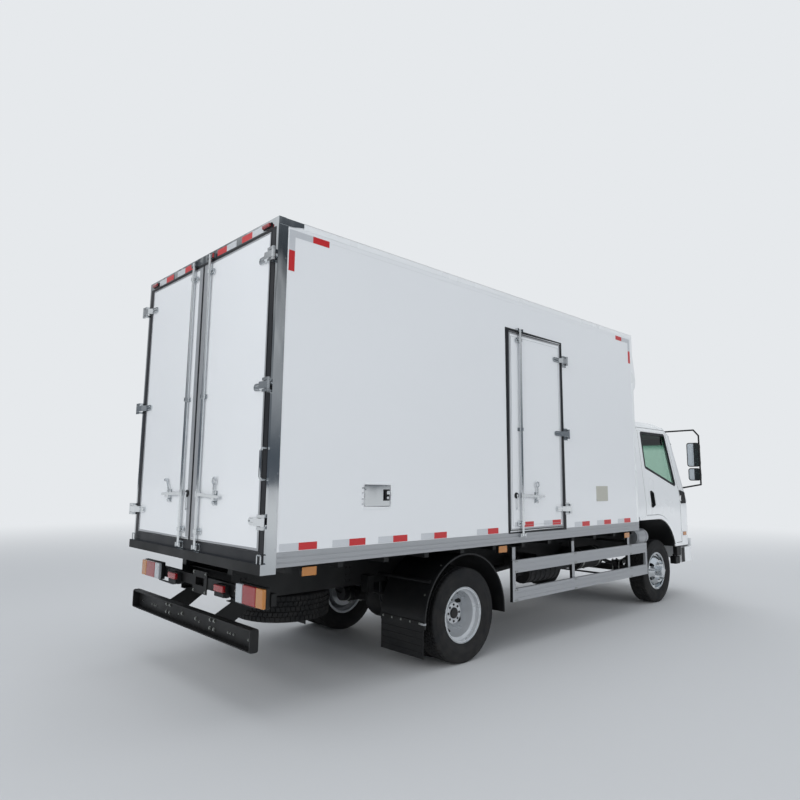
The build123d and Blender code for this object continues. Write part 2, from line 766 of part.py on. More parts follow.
# Columns: inner edge, outer edge, lowest and highest height
lamp_units = ((660.0, 1030.0, 690.0, 830.0), (330.0, 480.0, 690.0, 780.0))
with BuildPart() as tail_lamps:
    for side in sides.values():
        for near, far, low, high in lamp_units:
            block((side * near, side * far), (lamp_bar_y[0] - lamp_deep, lamp_bar_y[0] - seat_clear), (low, high))
        block(
            (side * (box_half_width - 195), side * (box_half_width - 85)), (box_rear_y - 24, box_rear_y - seat_clear),
            (box_top_z - 58, box_top_z - 22),
        )
    fillet(tail_lamps.edges().filter_by(Axis.Y), 12)
    for side in sides.values():
        for distance in marker_places:
            block(
                (side * (box_half_width - 50), side * (box_half_width - 14)),
                (along(distance) - 60, along(distance) + 60), marker_z,
            )
            block(
                (side * (box_half_width - 62), side * (box_half_width - 49)),
                (along(distance) - 15, along(distance) + 15), (marker_z[0], floor_bottom_z - seat_clear),
            )
finish(tail_lamps, "tail_lamps")

# Box floor with its cross bearers and the sills on the frame rails
bearer_count = 12
liner_thick = 6.0
liner_gap = 10.0
with BuildPart() as box_floor:
    edge = box_half_width - rail_strip_thick
    floor_y = (frame_front_y, box_front_y)
    block((-edge, edge), floor_y, (floor_bottom_z, floor_top_z))
    for index in range(bearer_count):
        mid = along(200 + index * (box_length - 300) / (bearer_count - 1))
        block((-edge + 10, edge - 10), (mid - 25, mid + 25), (bearer_bottom_z, floor_bottom_z))
    for side in sides.values():
        block(
            (side * rail_inner_x, side * rail_outer_x), (rail_rear_y, box_front_y - 60),
            (rail_top_z, floor_bottom_z),
        )
    # Liner: the loading surface, raised between the walls
    liner_x = wall_inner_x - liner_gap
    block(
        (-liner_x, liner_x), (frame_front_y + liner_gap, box_front_y - wall_thick - liner_gap),
        (floor_top_z, floor_top_z + liner_thick),
    )
finish(box_floor, "box_floor")

# Bottom rails: grooved aluminium strips along both sides of the floor
with BuildPart() as bottom_rails:
    for side in sides.values():
        face = box_half_width + rail_strip_proud
        block(
            (side * (box_half_width - rail_strip_thick), side * face), (frame_front_y, box_front_y),
            (rail_strip_bottom_z, floor_top_z),
        )
        for groove_z in (995.0, 1030.0):
            block(
                (side * (face - 4), side * (face + 1)), (frame_front_y - 1, box_front_y + 1),
                (groove_z, groove_z + 10), Mode.SUBTRACT,
            )
finish(bottom_rails, "bottom_rails")

# Side walls; the right one has the door and hatch openings
for name, side in sides.items():
    with BuildPart() as side_wall:
        block(
            (side * wall_inner_x, side * box_half_width), (frame_front_y, box_front_y),
            (floor_top_z, roof_bottom_z),
        )
        if name == "right":
            for low, high, bottom, top in (
                (side_door_rear, side_door_front, side_door_bottom_z, side_door_top_z),
                (hatch_rear, hatch_front, hatch_bottom_z, hatch_top_z),
            ):
                block(
                    (wall_inner_x - 1, box_half_width + 1), (along(low), along(high)), (bottom, top),
                    Mode.SUBTRACT,
                )
    finish(side_wall, f"side_wall_{name}")

with BuildPart() as front_wall:
    block(
        (-wall_inner_x, wall_inner_x), (box_front_y - wall_thick, box_front_y), (floor_top_z, roof_bottom_z),
    )
finish(front_wall, "front_wall")

with BuildPart() as box_roof:
    block((-box_half_width, box_half_width), (frame_front_y, box_front_y), (roof_bottom_z, box_top_z))
    fillet(box_roof.edges().filter_by(Axis.Y).group_by(Axis.Z)[-1], 45)
finish(box_roof, "box_roof")

# Rear frame: posts, header and sill, with the hinge brackets of the rear doors
rear_hinges = (1270.0, 2180.0, 3095.0)
hinge_x = box_half_width + hinge_out
hinge_y = box_rear_y - hinge_back
doorway_half = box_half_width - post_width
doorway_top_z = box_top_z - 82.0
grab_z = (1545.0, 1755.0)
grab_off = 44.0
grab_radius = 9.0
rod_x = 145.0
keeper_deep = 30.0
top_keeper_z = (doorway_top_z + 14.0, doorway_top_z + 54.0)
foot_keeper_z = (floor_top_z - 58.0, floor_top_z - 24.0)
sill_shelf_deep = 38.0
sill_shelf_top_z = floor_top_z - 70.0
with BuildPart() as rear_frame:
    face = box_half_width + post_wrap
    block((-face, face), (box_rear_y, frame_front_y), (sill_bottom_z, box_top_z))
    # Sill: a shelf along the whole width, behind the doors' lower edge
    block((-face, face), (box_rear_y - sill_shelf_deep, box_rear_y + 1), (sill_bottom_z, sill_shelf_top_z))
    block(
        (-doorway_half, doorway_half), (box_rear_y - 1, frame_front_y + 1), (floor_top_z, doorway_top_z),
        Mode.SUBTRACT,
    )
    for side in sides.values():
        for height in rear_hinges:
            ear_near = hinge_barrel_height / 2 + 1
            for end in (-1, 1):
                near = height + end * ear_near
                far = near + end * hinge_ear_height
                bar((side * hinge_x, hinge_y, near), (side * hinge_x, hinge_y, far), hinge_barrel_radius)
                block(
                    (side * (hinge_x - 66), side * hinge_x), (hinge_y - 8, hinge_y + 8), (near, far),
                )
                block(
                    (side * (hinge_x - 66), side * (hinge_x - 40)), (hinge_y, box_rear_y + 1), (near, far),
                )
            bar(
                (side * hinge_x, hinge_y, height - ear_near - 10), (side * hinge_x, hinge_y, height + ear_near + 10),
                hinge_pin_radius,
            )
    # Grab handle on the right post
    grab_x = box_half_width - post_width / 2
    with BuildLine() as grab_path:
        Polyline(
            (grab_x, box_rear_y + 4, grab_z[0]), (grab_x, box_rear_y - grab_off + 14, grab_z[0]),
            (grab_x, box_rear_y - grab_off, grab_z[0] + 20), (grab_x, box_rear_y - grab_off, grab_z[1] - 20),
            (grab_x, box_rear_y - grab_off + 14, grab_z[1]), (grab_x, box_rear_y + 4, grab_z[1]),
        )
    with BuildSketch(Plane(origin=grab_path.wire() @ 0, z_dir=grab_path.wire() % 0)):
        Circle(grab_radius)
    sweep(path=grab_path.wire(), transition=Transition.RIGHT)
    # Cam keepers beside each rod, on the header and the sill
    for side in sides.values():
        for low, high in (top_keeper_z, foot_keeper_z):
            for near, far in ((-45, -24), (24, 45)):
                block(
                    (side * rod_x + near, side * rod_x + far), (box_rear_y - keeper_deep, box_rear_y + 1), (low, high),
                )
finish(rear_frame, "rear_frame")


def strap_form(length, foot):
    """A cast strap: barrel at the origin, tongue along +X, door face towards +Y."""
    face = hinge_back - seat_clear
    with BuildPart() as strap:
        with BuildSketch(Plane.XY.offset(-strap_height / 2)):
            with BuildLine():
                Polyline(
                    (0, -strap_half_thick), (foot, -strap_half_thick), (foot + 34, face - 16),
                    (length, face - 11), (length, face), (foot, face), (foot, face - 16),
                    (foot - 14, strap_half_thick), (0, strap_half_thick), close=True,
                )
            make_face()
        extrude(amount=strap_height)
        far_edges = strap.edges().filter_by(Axis.Y).group_by(Axis.X)[-1]
        fillet(far_edges, strap_height / 2 - 2)
        for rise in (-strap_height / 4, strap_height / 4):
            with Locations((length / 2 + foot / 2 + 10, face - 15, rise)):
                Box(length - foot - 60, 10, 8)
        bar((0, 0, -hinge_barrel_height / 2), (0, 0, hinge_barrel_height / 2), hinge_barrel_radius)
        bar((0, 0, -hinge_barrel_height), (0, 0, hinge_barrel_height), hinge_pin_radius + pin_clear, Mode.SUBTRACT)
    return strap.part


def rod_guide(height):
    """A lock rod's bearing: base plate on the door and a round housing; the door face is at +Y."""
    with BuildPart() as guide:
        bar((0, 0, height - 15), (0, 0, height + 15), guide_radius)
        block((-guide_radius, guide_radius), (0, lock_rod_off - seat_clear), (height - 15, height + 15))
        block((-40, 40), (lock_rod_off - 6, lock_rod_off - seat_clear), (height - 17, height + 17))
    return guide.part


def rod_gear(low, high, guides, handle_height):
    """Lock rod at the origin with cams, guides and its handle towards +X; the door face is at +Y."""
    with BuildPart() as gear:
        bar((0, 0, low), (0, 0, high), lock_rod_radius)
        for height in guides:
            add(rod_guide(height))
        for end, height in ((-1, low + 14), (1, high - 14)):
            bar((0, 0, height - 13), (0, 0, height + 13), 19)
            block((-8, 8), (-hinge_barrel_radius - 11, 0), (height - 10, height + 10))
        # Handle: a hub round the rod and a flat lever with a round end
        bar((0, 0, handle_height - 24), (0, 0, handle_height + 24), 20)
        with BuildSketch(cross_plane(-6)):
            with BuildLine():
                Polyline(
                    (0, handle_height + 15), (60, handle_height + 13), (handle_reach - 60, handle_height - 1),
                    (handle_reach, handle_height - 1),
                )
                ThreePointArc(
                    (handle_reach, handle_height - 1), (handle_reach + 11, handle_height - 12),
                    (handle_reach, handle_height - 23),
                )
                Polyline(
                    (handle_reach, handle_height - 23), (handle_reach - 70, handle_height - 23),
                    (60, handle_height - 15), (0, handle_height - 15), (0, handle_height + 15),
                )
            make_face()
        extrude(amount=8)
        # Catch: a plate on the door with the hasp that holds the lever
        block((catch_at - 34, catch_at + 34), (lock_rod_off - 5, lock_rod_off - seat_clear),
              (handle_height - 78, handle_height + 30))
        block((catch_at - 20, catch_at + 20), (-6, lock_rod_off - 4), (handle_height - 44, handle_height - 20))
    return gear.part


# Rear doors and their gear
handle_z = floor_top_z + 360.0
rod_guides = (floor_top_z + 80.0, (floor_top_z + doorway_top_z) / 2, doorway_top_z - 98.0)
rod_span = (floor_top_z - 50.0, doorway_top_z + 48.0)
guide_radius = 21.0
handle_reach = 350.0
catch_at = 255.0
rear_strap = strap_form(240.0, hinge_x - (doorway_half - door_gap) + 6)
rear_rod_gear = rod_gear(*rod_span, rod_guides, handle_z)
for name, side in sides.items():
    inner = door_seam_gap / 2
    outer = doorway_half - door_gap
    low = floor_top_z + door_gap
    high = doorway_top_z - door_gap
    with BuildPart() as rear_door:
        block((side * inner, side * outer), (box_rear_y, box_rear_y + door_skin), (low, high))
        block(
            (side * (inner + door_plug_inset), side * (outer - door_plug_inset)),
            (box_rear_y, box_rear_y + door_thick), (low + door_plug_inset, high - door_plug_inset),
        )
    finish(rear_door, f"rear_door_{name}")

    with BuildPart() as door_gear:
        rod_at = (side * rod_x, box_rear_y - lock_rod_off, 0)
        with Locations(Plane(origin=rod_at)):
            add(rear_rod_gear if side > 0 else mirror(rear_rod_gear, about=Plane.YZ, mode=Mode.PRIVATE))
        for height in rear_hinges:
            hinge_at = (side * hinge_x, hinge_y, height)
            with Locations(Plane(origin=hinge_at, x_dir=(-side, 0, 0), z_dir=(0, 0, -side))):
                add(rear_strap)
    finish(door_gear, f"rear_door_gear_{name}")

# Side door, its gear and the hinge brackets on the wall
side_face_x = box_half_width
side_hinge_x = side_face_x + hinge_back
side_hinge_y = along(side_door_front) + side_hinge_ahead
side_hinges = (1270.0, 2045.0, 2830.0)
with BuildPart() as side_door:
    low_y = along(side_door_rear) + door_gap
    high_y = along(side_door_front) - door_gap
    low = side_door_bottom_z + door_gap
    high = side_door_top_z - door_gap
    block((side_face_x - door_skin, side_face_x), (low_y, high_y), (low, high))
    block(
        (side_face_x - door_thick, side_face_x), (low_y + door_plug_inset, high_y - door_plug_inset),
        (low + door_plug_inset, high - door_plug_inset),
    )
finish(side_door, "side_door")

side_rod_y = along(side_door_rear + 175)
side_strap = strap_form(215.0, side_hinge_ahead + door_gap + 6)
side_rod_span = (side_door_bottom_z - 55.0, side_door_top_z + 36.0)
side_guides = (side_door_bottom_z + 65.0, (side_door_bottom_z + side_door_top_z) / 2, side_door_top_z - 80.0)
side_rod_gear = rod_gear(*side_rod_span, side_guides, side_door_bottom_z + 328.0)
with BuildPart() as side_door_gear:
    rod_at = (side_face_x + lock_rod_off, side_rod_y, 0)
    with Locations(Plane(origin=rod_at, x_dir=(0, 1, 0), z_dir=(0, 0, 1))):
        add(side_rod_gear)
    for height in side_hinges:
        hinge_at = (side_hinge_x, side_hinge_y, height)
        with Locations(Plane(origin=hinge_at, x_dir=(0, -1, 0), z_dir=(0, 0, -1))):
            add(side_strap)
finish(side_door_gear, "side_door_gear")

hatch_pin_x = box_half_width + 5.0
hatch_pin_y = along(hatch_rear) - 1.0
hatch_pin_radius = 2.5
hatch_hinges = (1390.0, 1472.0)
with BuildPart() as wall_hinges:
    for height in side_hinges:
        ear_near = hinge_barrel_height / 2 + 1
        block(
            (side_face_x, side_face_x + 6), (side_hinge_y - 40, side_hinge_y + 34), (height - 62, height + 62),
        )
        for end in (-1, 1):
            near = height + end * ear_near
            far = near + end * hinge_ear_height
            bar((side_hinge_x, side_hinge_y, near), (side_hinge_x, side_hinge_y, far), hinge_barrel_radius)
            block(
                (side_face_x + 5, side_hinge_x), (side_hinge_y - 10, side_hinge_y + 10), (near, far),
            )
        bar(
            (side_hinge_x, side_hinge_y, height - ear_near - 10),
            (side_hinge_x, side_hinge_y, height + ear_near + 10), hinge_pin_radius,
        )
    for low, high in (
        (side_door_top_z + 8, side_door_top_z + 42), (side_door_bottom_z - 61, side_door_bottom_z - 27),
    ):
        for step in (-45.0, 24.0):
            base = side_face_x if low > floor_top_z else side_face_x + rail_strip_proud
            block((base, side_face_x + 30), (side_rod_y + step, side_rod_y + step + 21), (low, high))
    # Pins and ears of the access hatch
    for height in hatch_hinges:
        bar((hatch_pin_x, hatch_pin_y, height - 24), (hatch_pin_x, hatch_pin_y, height + 24), hatch_pin_radius)
        for end in (-1, 1):
            near = height + end * 13
            far = height + end * 24
            bar((hatch_pin_x, hatch_pin_y, near), (hatch_pin_x, hatch_pin_y, far), 5)
            block((box_half_width, hatch_pin_x), (hatch_pin_y - 22, hatch_pin_y), (near, far))
finish(wall_hinges, "wall_hinges")

# Access hatch lid: a thin stainless lid with an insulated plug, hinged at its rear edge
with BuildPart() as access_hatch:
    low_y = along(hatch_rear) + hatch_gap
    high_y = along(hatch_front) - hatch_gap
    block(
        (box_half_width - hatch_lid_thick, box_half_width), (low_y, high_y),
        (hatch_bottom_z + hatch_gap, hatch_top_z - hatch_gap),
    )
    block(
        (box_half_width - 46, box_half_width - 1), (low_y + 20, high_y - 20),
        (hatch_bottom_z + hatch_gap + 14, hatch_top_z - hatch_gap - 14),
    )
    for height in hatch_hinges:
        bar((hatch_pin_x, hatch_pin_y, height - 12), (hatch_pin_x, hatch_pin_y, height + 12), 5)
        block(
            (box_half_width, box_half_width + 5), (hatch_pin_y, low_y + 12), (height - 12, height + 12),
        )
        bar(
            (hatch_pin_x, hatch_pin_y, height - 20), (hatch_pin_x, hatch_pin_y, height + 20),
            hatch_pin_radius + pin_clear, Mode.SUBTRACT,
        )
finish(access_hatch, "access_hatch")

# Refrigeration unit on the front wall, above the cab
unit_half = 900.0
unit_deep = 520.0
unit_z = (box_top_z - 680.0, box_top_z - 110.0)
louvre_count = 5
louvre_pitch = 40.0
louvre_open = 20.0
with BuildPart() as refrigeration_unit:
    with BuildSketch(side_plane(-unit_half)):
        with BuildLine():
            back = box_front_y
            nose = box_front_y + unit_deep
            Polyline((back, unit_z[0]), (nose - 130, unit_z[0]))
            ThreePointArc((nose - 130, unit_z[0]), (nose - 20, unit_z[0] + 90), (nose, unit_z[0] + 240))
            Line((nose, unit_z[0] + 240), (nose - 40, unit_z[1] - 120))
            ThreePointArc((nose - 40, unit_z[1] - 120), (nose - 85, unit_z[1] - 30), (nose - 180, unit_z[1]))
            Polyline((nose - 180, unit_z[1]), (back, unit_z[1]), (back, unit_z[0]))
        make_face()
    extrude(amount=2 * unit_half)
    # Louvres: slots across the nose and in both ends
    for index in range(louvre_count):
        slot_z = unit_z[0] + 250 + index * louvre_pitch
        for x in (-430, 430):
            block(
                (x - 330, x + 330), (nose - 60 - index * 3, nose + 10), (slot_z, slot_z + louvre_open),
                Mode.SUBTRACT,
            )
        for side in sides.values():
            block(
                (side * (unit_half - 24), side * (unit_half + 10)), (box_front_y + 90, box_front_y + 330),
                (slot_z, slot_z + louvre_open), Mode.SUBTRACT,
            )
finish(refrigeration_unit, "refrigeration_unit")

# Cab outer form: plan sections at five heights. Columns: height, front, half width, corner radius
cab_sections = (
    (600.0, 6985.0, 1020.0, 190.0),
    (1280.0, 7030.0, 1020.0, 210.0),
    (2200.0, 6715.0, 940.0, 210.0),
    (2300.0, 6600.0, 905.0, 200.0),
    (2355.0, 6430.0, 830.0, 180.0),
)


def cab_form(inset):
    """The cab's outer form, or the same form drawn in by a wall thickness."""
    with BuildPart() as form:
        for index, (height, front, half_width, radius) in enumerate(cab_sections):
            top_drop = inset if index == len(cab_sections) - 1 else 0
            with BuildSketch(Plane.XY.offset(height - top_drop)):
                rear_y = along(cab_rear) + inset
                front_y = along(front) - inset
                half = half_width - inset
                with BuildLine():
                    Polyline((half, front_y), (half, rear_y), (-half, rear_y), (-half, front_y), close=True)
                make_face()
                fillet(vertices().group_by(Axis.Y)[-1], max(radius - inset, 60))
        loft(ruled=True)
        # Below the floor: the wheel arch, the sill and the raised front lip
        floor_z = cab_floor_z + inset
        sill_z = cab_sill_z + inset
        arch = arch_radius + inset
        centre_z = cab_floor_z - arch_radius
        arch_end = arch_start + math.sqrt(arch ** 2 - (sill_z - centre_z) ** 2)
        rear_limit = cab_rear - 50
        front_limit = cab_panel_start + 200
        middle = math.radians(50)
        with BuildSketch(side_plane(-1100)):
            with BuildLine():
                Polyline(
                    (along(rear_limit), 500), (along(rear_limit), floor_z), (along(arch_start), floor_z),
                )
                ThreePointArc(
                    (along(arch_start), floor_z),
                    (along(arch_start) + arch * math.cos(middle), centre_z + arch * math.sin(middle)),
                    (along(arch_end), sill_z),
                )
                Polyline(
                    (along(arch_end), sill_z), (along(cab_panel_start) - inset, sill_z),
                    (along(cab_panel_start + 70) - inset, cab_panel_z + inset),
                    (along(front_limit), cab_panel_z + inset), (along(front_limit), 500),
                    (along(rear_limit), 500),
                )
            make_face()
        extrude(amount=2200, mode=Mode.SUBTRACT)
        # Tunnels over the frame rails and over the engine
        frame_end = cab_panel_start if inset == 0 else front_limit
        block(
            (-470 - inset, 470 + inset), (along(rear_limit), along(frame_end)), (500, 930 + inset),
            Mode.SUBTRACT,
        )
        block(
            (-330 - inset, 330 + inset), (along(rear_limit), along(6560) + inset), (500, 1130 + inset),
            Mode.SUBTRACT,
        )
    return form.part


def door_outline(grow):
    """Cab door outline seen from the side, grown by a gap."""
    rear = along(5620) - grow
    front = along(6640) + grow
    low = cab_sill_z + 50 - grow
    arch = arch_radius + 60 - grow
    centre_z = cab_floor_z - arch_radius
    top = 2262 + grow
    arch_end = along(arch_start) + math.sqrt(arch ** 2 - (low - centre_z) ** 2)
    middle = math.radians(50)
    with BuildLine() as outline:
        Polyline((rear, top), (rear, centre_z + arch), (along(arch_start), centre_z + arch))
        ThreePointArc(
            (along(arch_start), centre_z + arch),
            (along(arch_start) + arch * math.cos(middle), centre_z + arch * math.sin(middle)),
            (arch_end, low),
        )
        Polyline(
            (arch_end, low), (front, low), (front, 1440), (along(6425) + grow, top), (rear, top),
        )
    make_face(outline.edges())


def flare_outline():
    """Raised band round the wheel arch, seen from the side."""
    centre_z = cab_floor_z - arch_radius
    low = cab_sill_z + 4
    middle = math.radians(50)
    radii = (arch_radius + 2, arch_radius + flare_wide)
    ends = [along(arch_start) + math.sqrt(radius ** 2 - (low - centre_z) ** 2) for radius in radii]
    with BuildLine() as outline:
        for radius, end in zip(radii, ends):
            ThreePointArc(
                (along(arch_start), centre_z + radius),
                (along(arch_start) + radius * math.cos(middle), centre_z + radius * math.sin(middle)),
                (end, low),
            )
            Line((along(arch_start), centre_z + radius), (along(cab_rear + 4), centre_z + radius))
        Line((ends[0], low), (ends[1], low))
        Line((along(cab_rear + 4), centre_z + radii[0]), (along(cab_rear + 4), centre_z + radii[1]))
    make_face(outline.edges())


def window_outline(grow):
    """Door window outline seen from the side; its lower edge drops towards the front."""
    with BuildLine() as outline:
        Polyline(
            (along(5700) - grow, 2196 + grow), (along(5716) - grow, 1742 - grow),
            (along(6556) + grow, 1500 - grow), (along(6392) + grow, 2196 + grow), close=True,
        )
    make_face(outline.edges())


def screen_outline(grow):
    """Windscreen outline seen from the front."""
    with BuildLine() as outline:
        Polyline(
            (-905 - grow, 1345 - grow), (905 + grow, 1345 - grow),
            (815 + grow, 2165 + grow), (-815 - grow, 2165 + grow), close=True,
        )
    make_face(outline.edges())


cab_half_width = cab_sections[0][2]
flare_proud = 12.0
flare_wide = 44.0
grille_half = 560.0
grille_count = 4
grille_z = 965.0
grille_pitch = 34.0
grille_open = 18.0
cab_barrel_radius = 6.0
cab_pin_radius = 3.0
cab_barrel_height = 40.0
cab_ear_height = 16.0
cab_hinge_x = cab_half_width + cab_barrel_radius + 1.0
cab_hinge_y = along(6640) + cab_door_gap / 2
cab_hinges = (860.0, 1330.0)
lamp_half = (620.0, 945.0)
lamp_z = (930.0, 1110.0)
outer_form = cab_form(0)
inner_form = cab_form(cab_wall)
door_inner_form = cab_form(cab_door_thick)
glass_outer_form = cab_form(14)
glass_inner_form = cab_form(14 + glass_thick)
lamp_outer_form = cab_form(-6)
lamp_inner_form = cab_form(24)

with BuildPart() as cab_shell:
    add(outer_form)
    add(inner_form, mode=Mode.SUBTRACT)
    for side in sides.values():
        with BuildSketch(side_plane(side * 700)):
            door_outline(cab_door_gap)
        extrude(amount=side * 400, mode=Mode.SUBTRACT)
        with BuildSketch(cross_plane(along(6500))):
            with Locations((side * (lamp_half[0] + lamp_half[1]) / 2, (lamp_z[0] + lamp_z[1]) / 2)):
                Rectangle(lamp_half[1] - lamp_half[0] + 1, lamp_z[1] - lamp_z[0] + 1)
        extrude(amount=-700, mode=Mode.SUBTRACT)
    for side in sides.values():
        with BuildSketch(side_plane(side * (cab_half_width - 4))):
            flare_outline()
        extrude(amount=side * (4 + flare_proud))
    # Grille: a row of slots across the front panel, and the intake under them
    for index in range(grille_count):
        slot_z = grille_z + index * grille_pitch
        for x in (-grille_half / 2, grille_half / 2):
            block(
                (x - grille_half / 2 + 16, x + grille_half / 2 - 16),
                (along(6975), along(7100)), (slot_z, slot_z + grille_open), Mode.SUBTRACT,
            )
    with BuildSketch(cross_plane(along(6300))):
        screen_outline(seat_clear)
    extrude(amount=-900, mode=Mode.SUBTRACT)
    block((-560, 560), (along(cab_rear) - 1, along(cab_rear) + cab_wall + 1), (1660, 2140), Mode.SUBTRACT)
    for side in sides.values():
        # Tilt lug under the tunnel roof, round the bracket's pin
        lug_x = (side * (rail_outer_x + 8), side * (rail_outer_x + 32))
        pivot_y = along(tilt_pivot[0])
        block(lug_x, (pivot_y - 28, pivot_y + 28), (tilt_pivot[1] - 26, 940))
        bar(
            (side * rail_outer_x, pivot_y, tilt_pivot[1]), (side * (rail_outer_x + 45), pivot_y, tilt_pivot[1]),
            tilt_pin_radius + pin_clear, Mode.SUBTRACT,
        )
    for side in sides.values():
        for height in cab_hinges:
            for end in (-1, 1):
                near = height + end * (cab_barrel_height / 2 + 1)
                far = near + end * cab_ear_height
                bar((side * cab_hinge_x, cab_hinge_y, near), (side * cab_hinge_x, cab_hinge_y, far), cab_barrel_radius)
                block(
                    (side * (cab_half_width - 2), side * cab_hinge_x), (cab_hinge_y + 1, cab_hinge_y + 22),
                    (near, far),
                )
            reach = cab_barrel_height / 2 + 3
            bar(
                (side * cab_hinge_x, cab_hinge_y, height - reach), (side * cab_hinge_x, cab_hinge_y, height + reach),
                cab_pin_radius,
            )
finish(cab_shell, "cab_shell")

with BuildPart() as glass_keep:
    with BuildSketch(cross_plane(along(6300))):
        screen_outline(0)
    extrude(amount=-900)
    block(
        (-560 + seat_clear, 560 - seat_clear), (along(cab_rear) - 1, along(cab_rear) + 60),
        (1660 + seat_clear, 2140 - seat_clear),
    )

with BuildPart() as cab_glass:
    add(glass_outer_form)
    add(glass_inner_form, mode=Mode.SUBTRACT)
    add(glass_keep.part, mode=Mode.INTERSECT)
finish(cab_glass, "cab_glass")

with BuildPart() as lamp_keep:
    for side in sides.values():
        block((side * lamp_half[0], side * lamp_half[1]), (along(6500), along(7200)), lamp_z)

with BuildPart() as headlamps:
    add(lamp_outer_form)
    add(lamp_inner_form, mode=Mode.SUBTRACT)
    add(lamp_keep.part, mode=Mode.INTERSECT)
finish(headlamps, "headlamps")

# Cab doors and their glass
for name, side in sides.items():
    with BuildPart() as cab_door:
        add(outer_form)
        add(door_inner_form, mode=Mode.SUBTRACT)
        with BuildSketch(side_plane(side * 700)):
            door_outline(0)
        extrude(amount=side * 400, mode=Mode.INTERSECT)
        with BuildSketch(side_plane(side * 700)):
            window_outline(seat_clear)
        extrude(amount=side * 400, mode=Mode.SUBTRACT)
        for height in cab_hinges:
            low = height - cab_barrel_height / 2
            high = height + cab_barrel_height / 2
            bar((side * cab_hinge_x, cab_hinge_y, low), (side * cab_hinge_x, cab_hinge_y, high), cab_barrel_radius)
            block(
                (side * (cab_half_width - 2), side * cab_hinge_x), (cab_hinge_y - 22, cab_hinge_y - 1), (low, high),
            )
            bar(
                (side * cab_hinge_x, cab_hinge_y, low - 5), (side * cab_hinge_x, cab_hinge_y, high + 5),
                cab_pin_radius + pin_clear, Mode.SUBTRACT,
            )
    finish(cab_door, f"cab_door_{name}")

    with BuildPart() as door_glass:
        add(glass_outer_form)
        add(glass_inner_form, mode=Mode.SUBTRACT)
        with BuildSketch(side_plane(side * 700)):
            window_outline(0)
        extrude(amount=side * 400, mode=Mode.INTERSECT)
    finish(door_glass, f"door_glass_{name}")

# Front bumper: one shell round the cab's front, and the arms to the frame
bumper_half = 1005.0
bumper_corner = 170.0
intake_count = 4
intake_pitch = 32.0
intake_open = 18.0
bumper_z = (460.0, 760.0)
towing_eye_z = 425.0
towing_eye_radius = 20.0
towing_eye_thick = 22.0
with BuildPart() as front_bumper:
    with BuildSketch(Plane.XY.offset(bumper_z[0])) as bumper_plan:
        for inset, mode in ((0, Mode.ADD), (bumper_face_thick, Mode.SUBTRACT)):
            with BuildLine():
                half = bumper_half - inset
                corner = bumper_corner - inset
                face = bumper_y - inset
                Line((-half, along(6640)), (-half, face - corner))
                ThreePointArc(
                    (-half, face - corner), (-half + corner * 0.29289, face - corner * 0.29289),
                    (-half + corner, face),
                )
                Line((-half + corner, face), (half - corner, face))
                ThreePointArc(
                    (half - corner, face), (half - corner * 0.29289, face - corner * 0.29289),
                    (half, face - corner),
                )
                Line((half, face - corner), (half, along(6640)))
                Line((half, along(6640)), (-half, along(6640)))
            make_face(mode=mode)
    extrude(amount=bumper_z[1] - bumper_z[0])
    # The side wraps stay below the sill; the front rises over a short ramp
    with BuildSketch(side_plane(-bumper_half - 20)):
        with BuildLine():
            Polyline(
                (along(6600), cab_sill_z - 30), (along(6985), cab_sill_z - 30), (along(7020), bumper_z[1] + 1),
                (along(6600), bumper_z[1] + 1), close=True,
            )
        make_face()
    extrude(amount=2 * bumper_half + 40, mode=Mode.SUBTRACT)
    # Air intake: a row of slots; the lamp recess at each end
    for index in range(intake_count):
        slot_z = bumper_z[0] + 44 + index * intake_pitch
        block((-430, 430), (bumper_y - 25, bumper_y + 1), (slot_z, slot_z + intake_open), Mode.SUBTRACT)
    for side in sides.values():
        with BuildSketch(cross_plane(bumper_y - 20)):
            with Locations((side * 640, bumper_z[0] + 85)):
                Circle(52)
        extrude(amount=-40, mode=Mode.SUBTRACT)
        with BuildSketch(cross_plane(bumper_y - 21)):
            with Locations((side * 640, bumper_z[0] + 85)):
                Circle(44)
        extrude(amount=-16)
        block(
            (side * rail_inner_x, side * (rail_inner_x + 30)), (rail_front_y - 180, bumper_y - bumper_face_thick + 2),
            (560, rail_bottom_z - seat_clear),
        )
        # Towing eye under each arm
        with BuildSketch(side_plane(side * rail_inner_x)):
            with Locations((bumper_y - 90, towing_eye_z)):
                Circle(towing_eye_radius + 20)
            with Locations((bumper_y - 90, (towing_eye_z + 570) / 2)):
                Rectangle(2 * towing_eye_radius + 40, 570 - towing_eye_z)
            with Locations((bumper_y - 90, towing_eye_z)):
                Circle(towing_eye_radius, mode=Mode.SUBTRACT)
        extrude(amount=side * towing_eye_thick)
finish(front_bumper, "front_bumper")

# Mirrors: a looped arm with two heads on each side
arm_radius = 11.0
arm_back_y = along(6935)
arm_out_x = 1204.0
mirror_rear_y = along(6905)
mirror_deep = 60.0
mirror_outer_x = 1215.0
# Columns: lowest and highest height of the head, its inner edge
mirror_heads = ((1770.0, 2110.0, 1040.0), (1575.0, 1750.0, 1050.0))
mirror_clear_form = cab_form(-seat_clear)
with BuildPart() as mirrors:
    for side in sides.values():
        bends = (
            (side * 830, along(6500), 2250), (side * 1150, along(6900), 2290), (side * arm_out_x, arm_back_y, 2210),
            (side * arm_out_x, arm_back_y, 1520), (side * 930, along(6810), 1460),
        )
        for start, end in zip(bends, bends[1:]):
            bar(start, end, arm_radius)
        for bend in bends[1:-1]:
            with Locations(bend):
                Sphere(arm_radius)
        for low, high, near in mirror_heads:
            with BuildSketch(cross_plane(mirror_rear_y)) as head:
                with Locations((side * (near + mirror_outer_x) / 2, (low + high) / 2)):
                    RectangleRounded(mirror_outer_x - near, high - low, 34)
            extrude(head.sketch, amount=-mirror_deep, taper=8)
    add(mirror_clear_form, mode=Mode.SUBTRACT)
finish(mirrors, "mirrors")

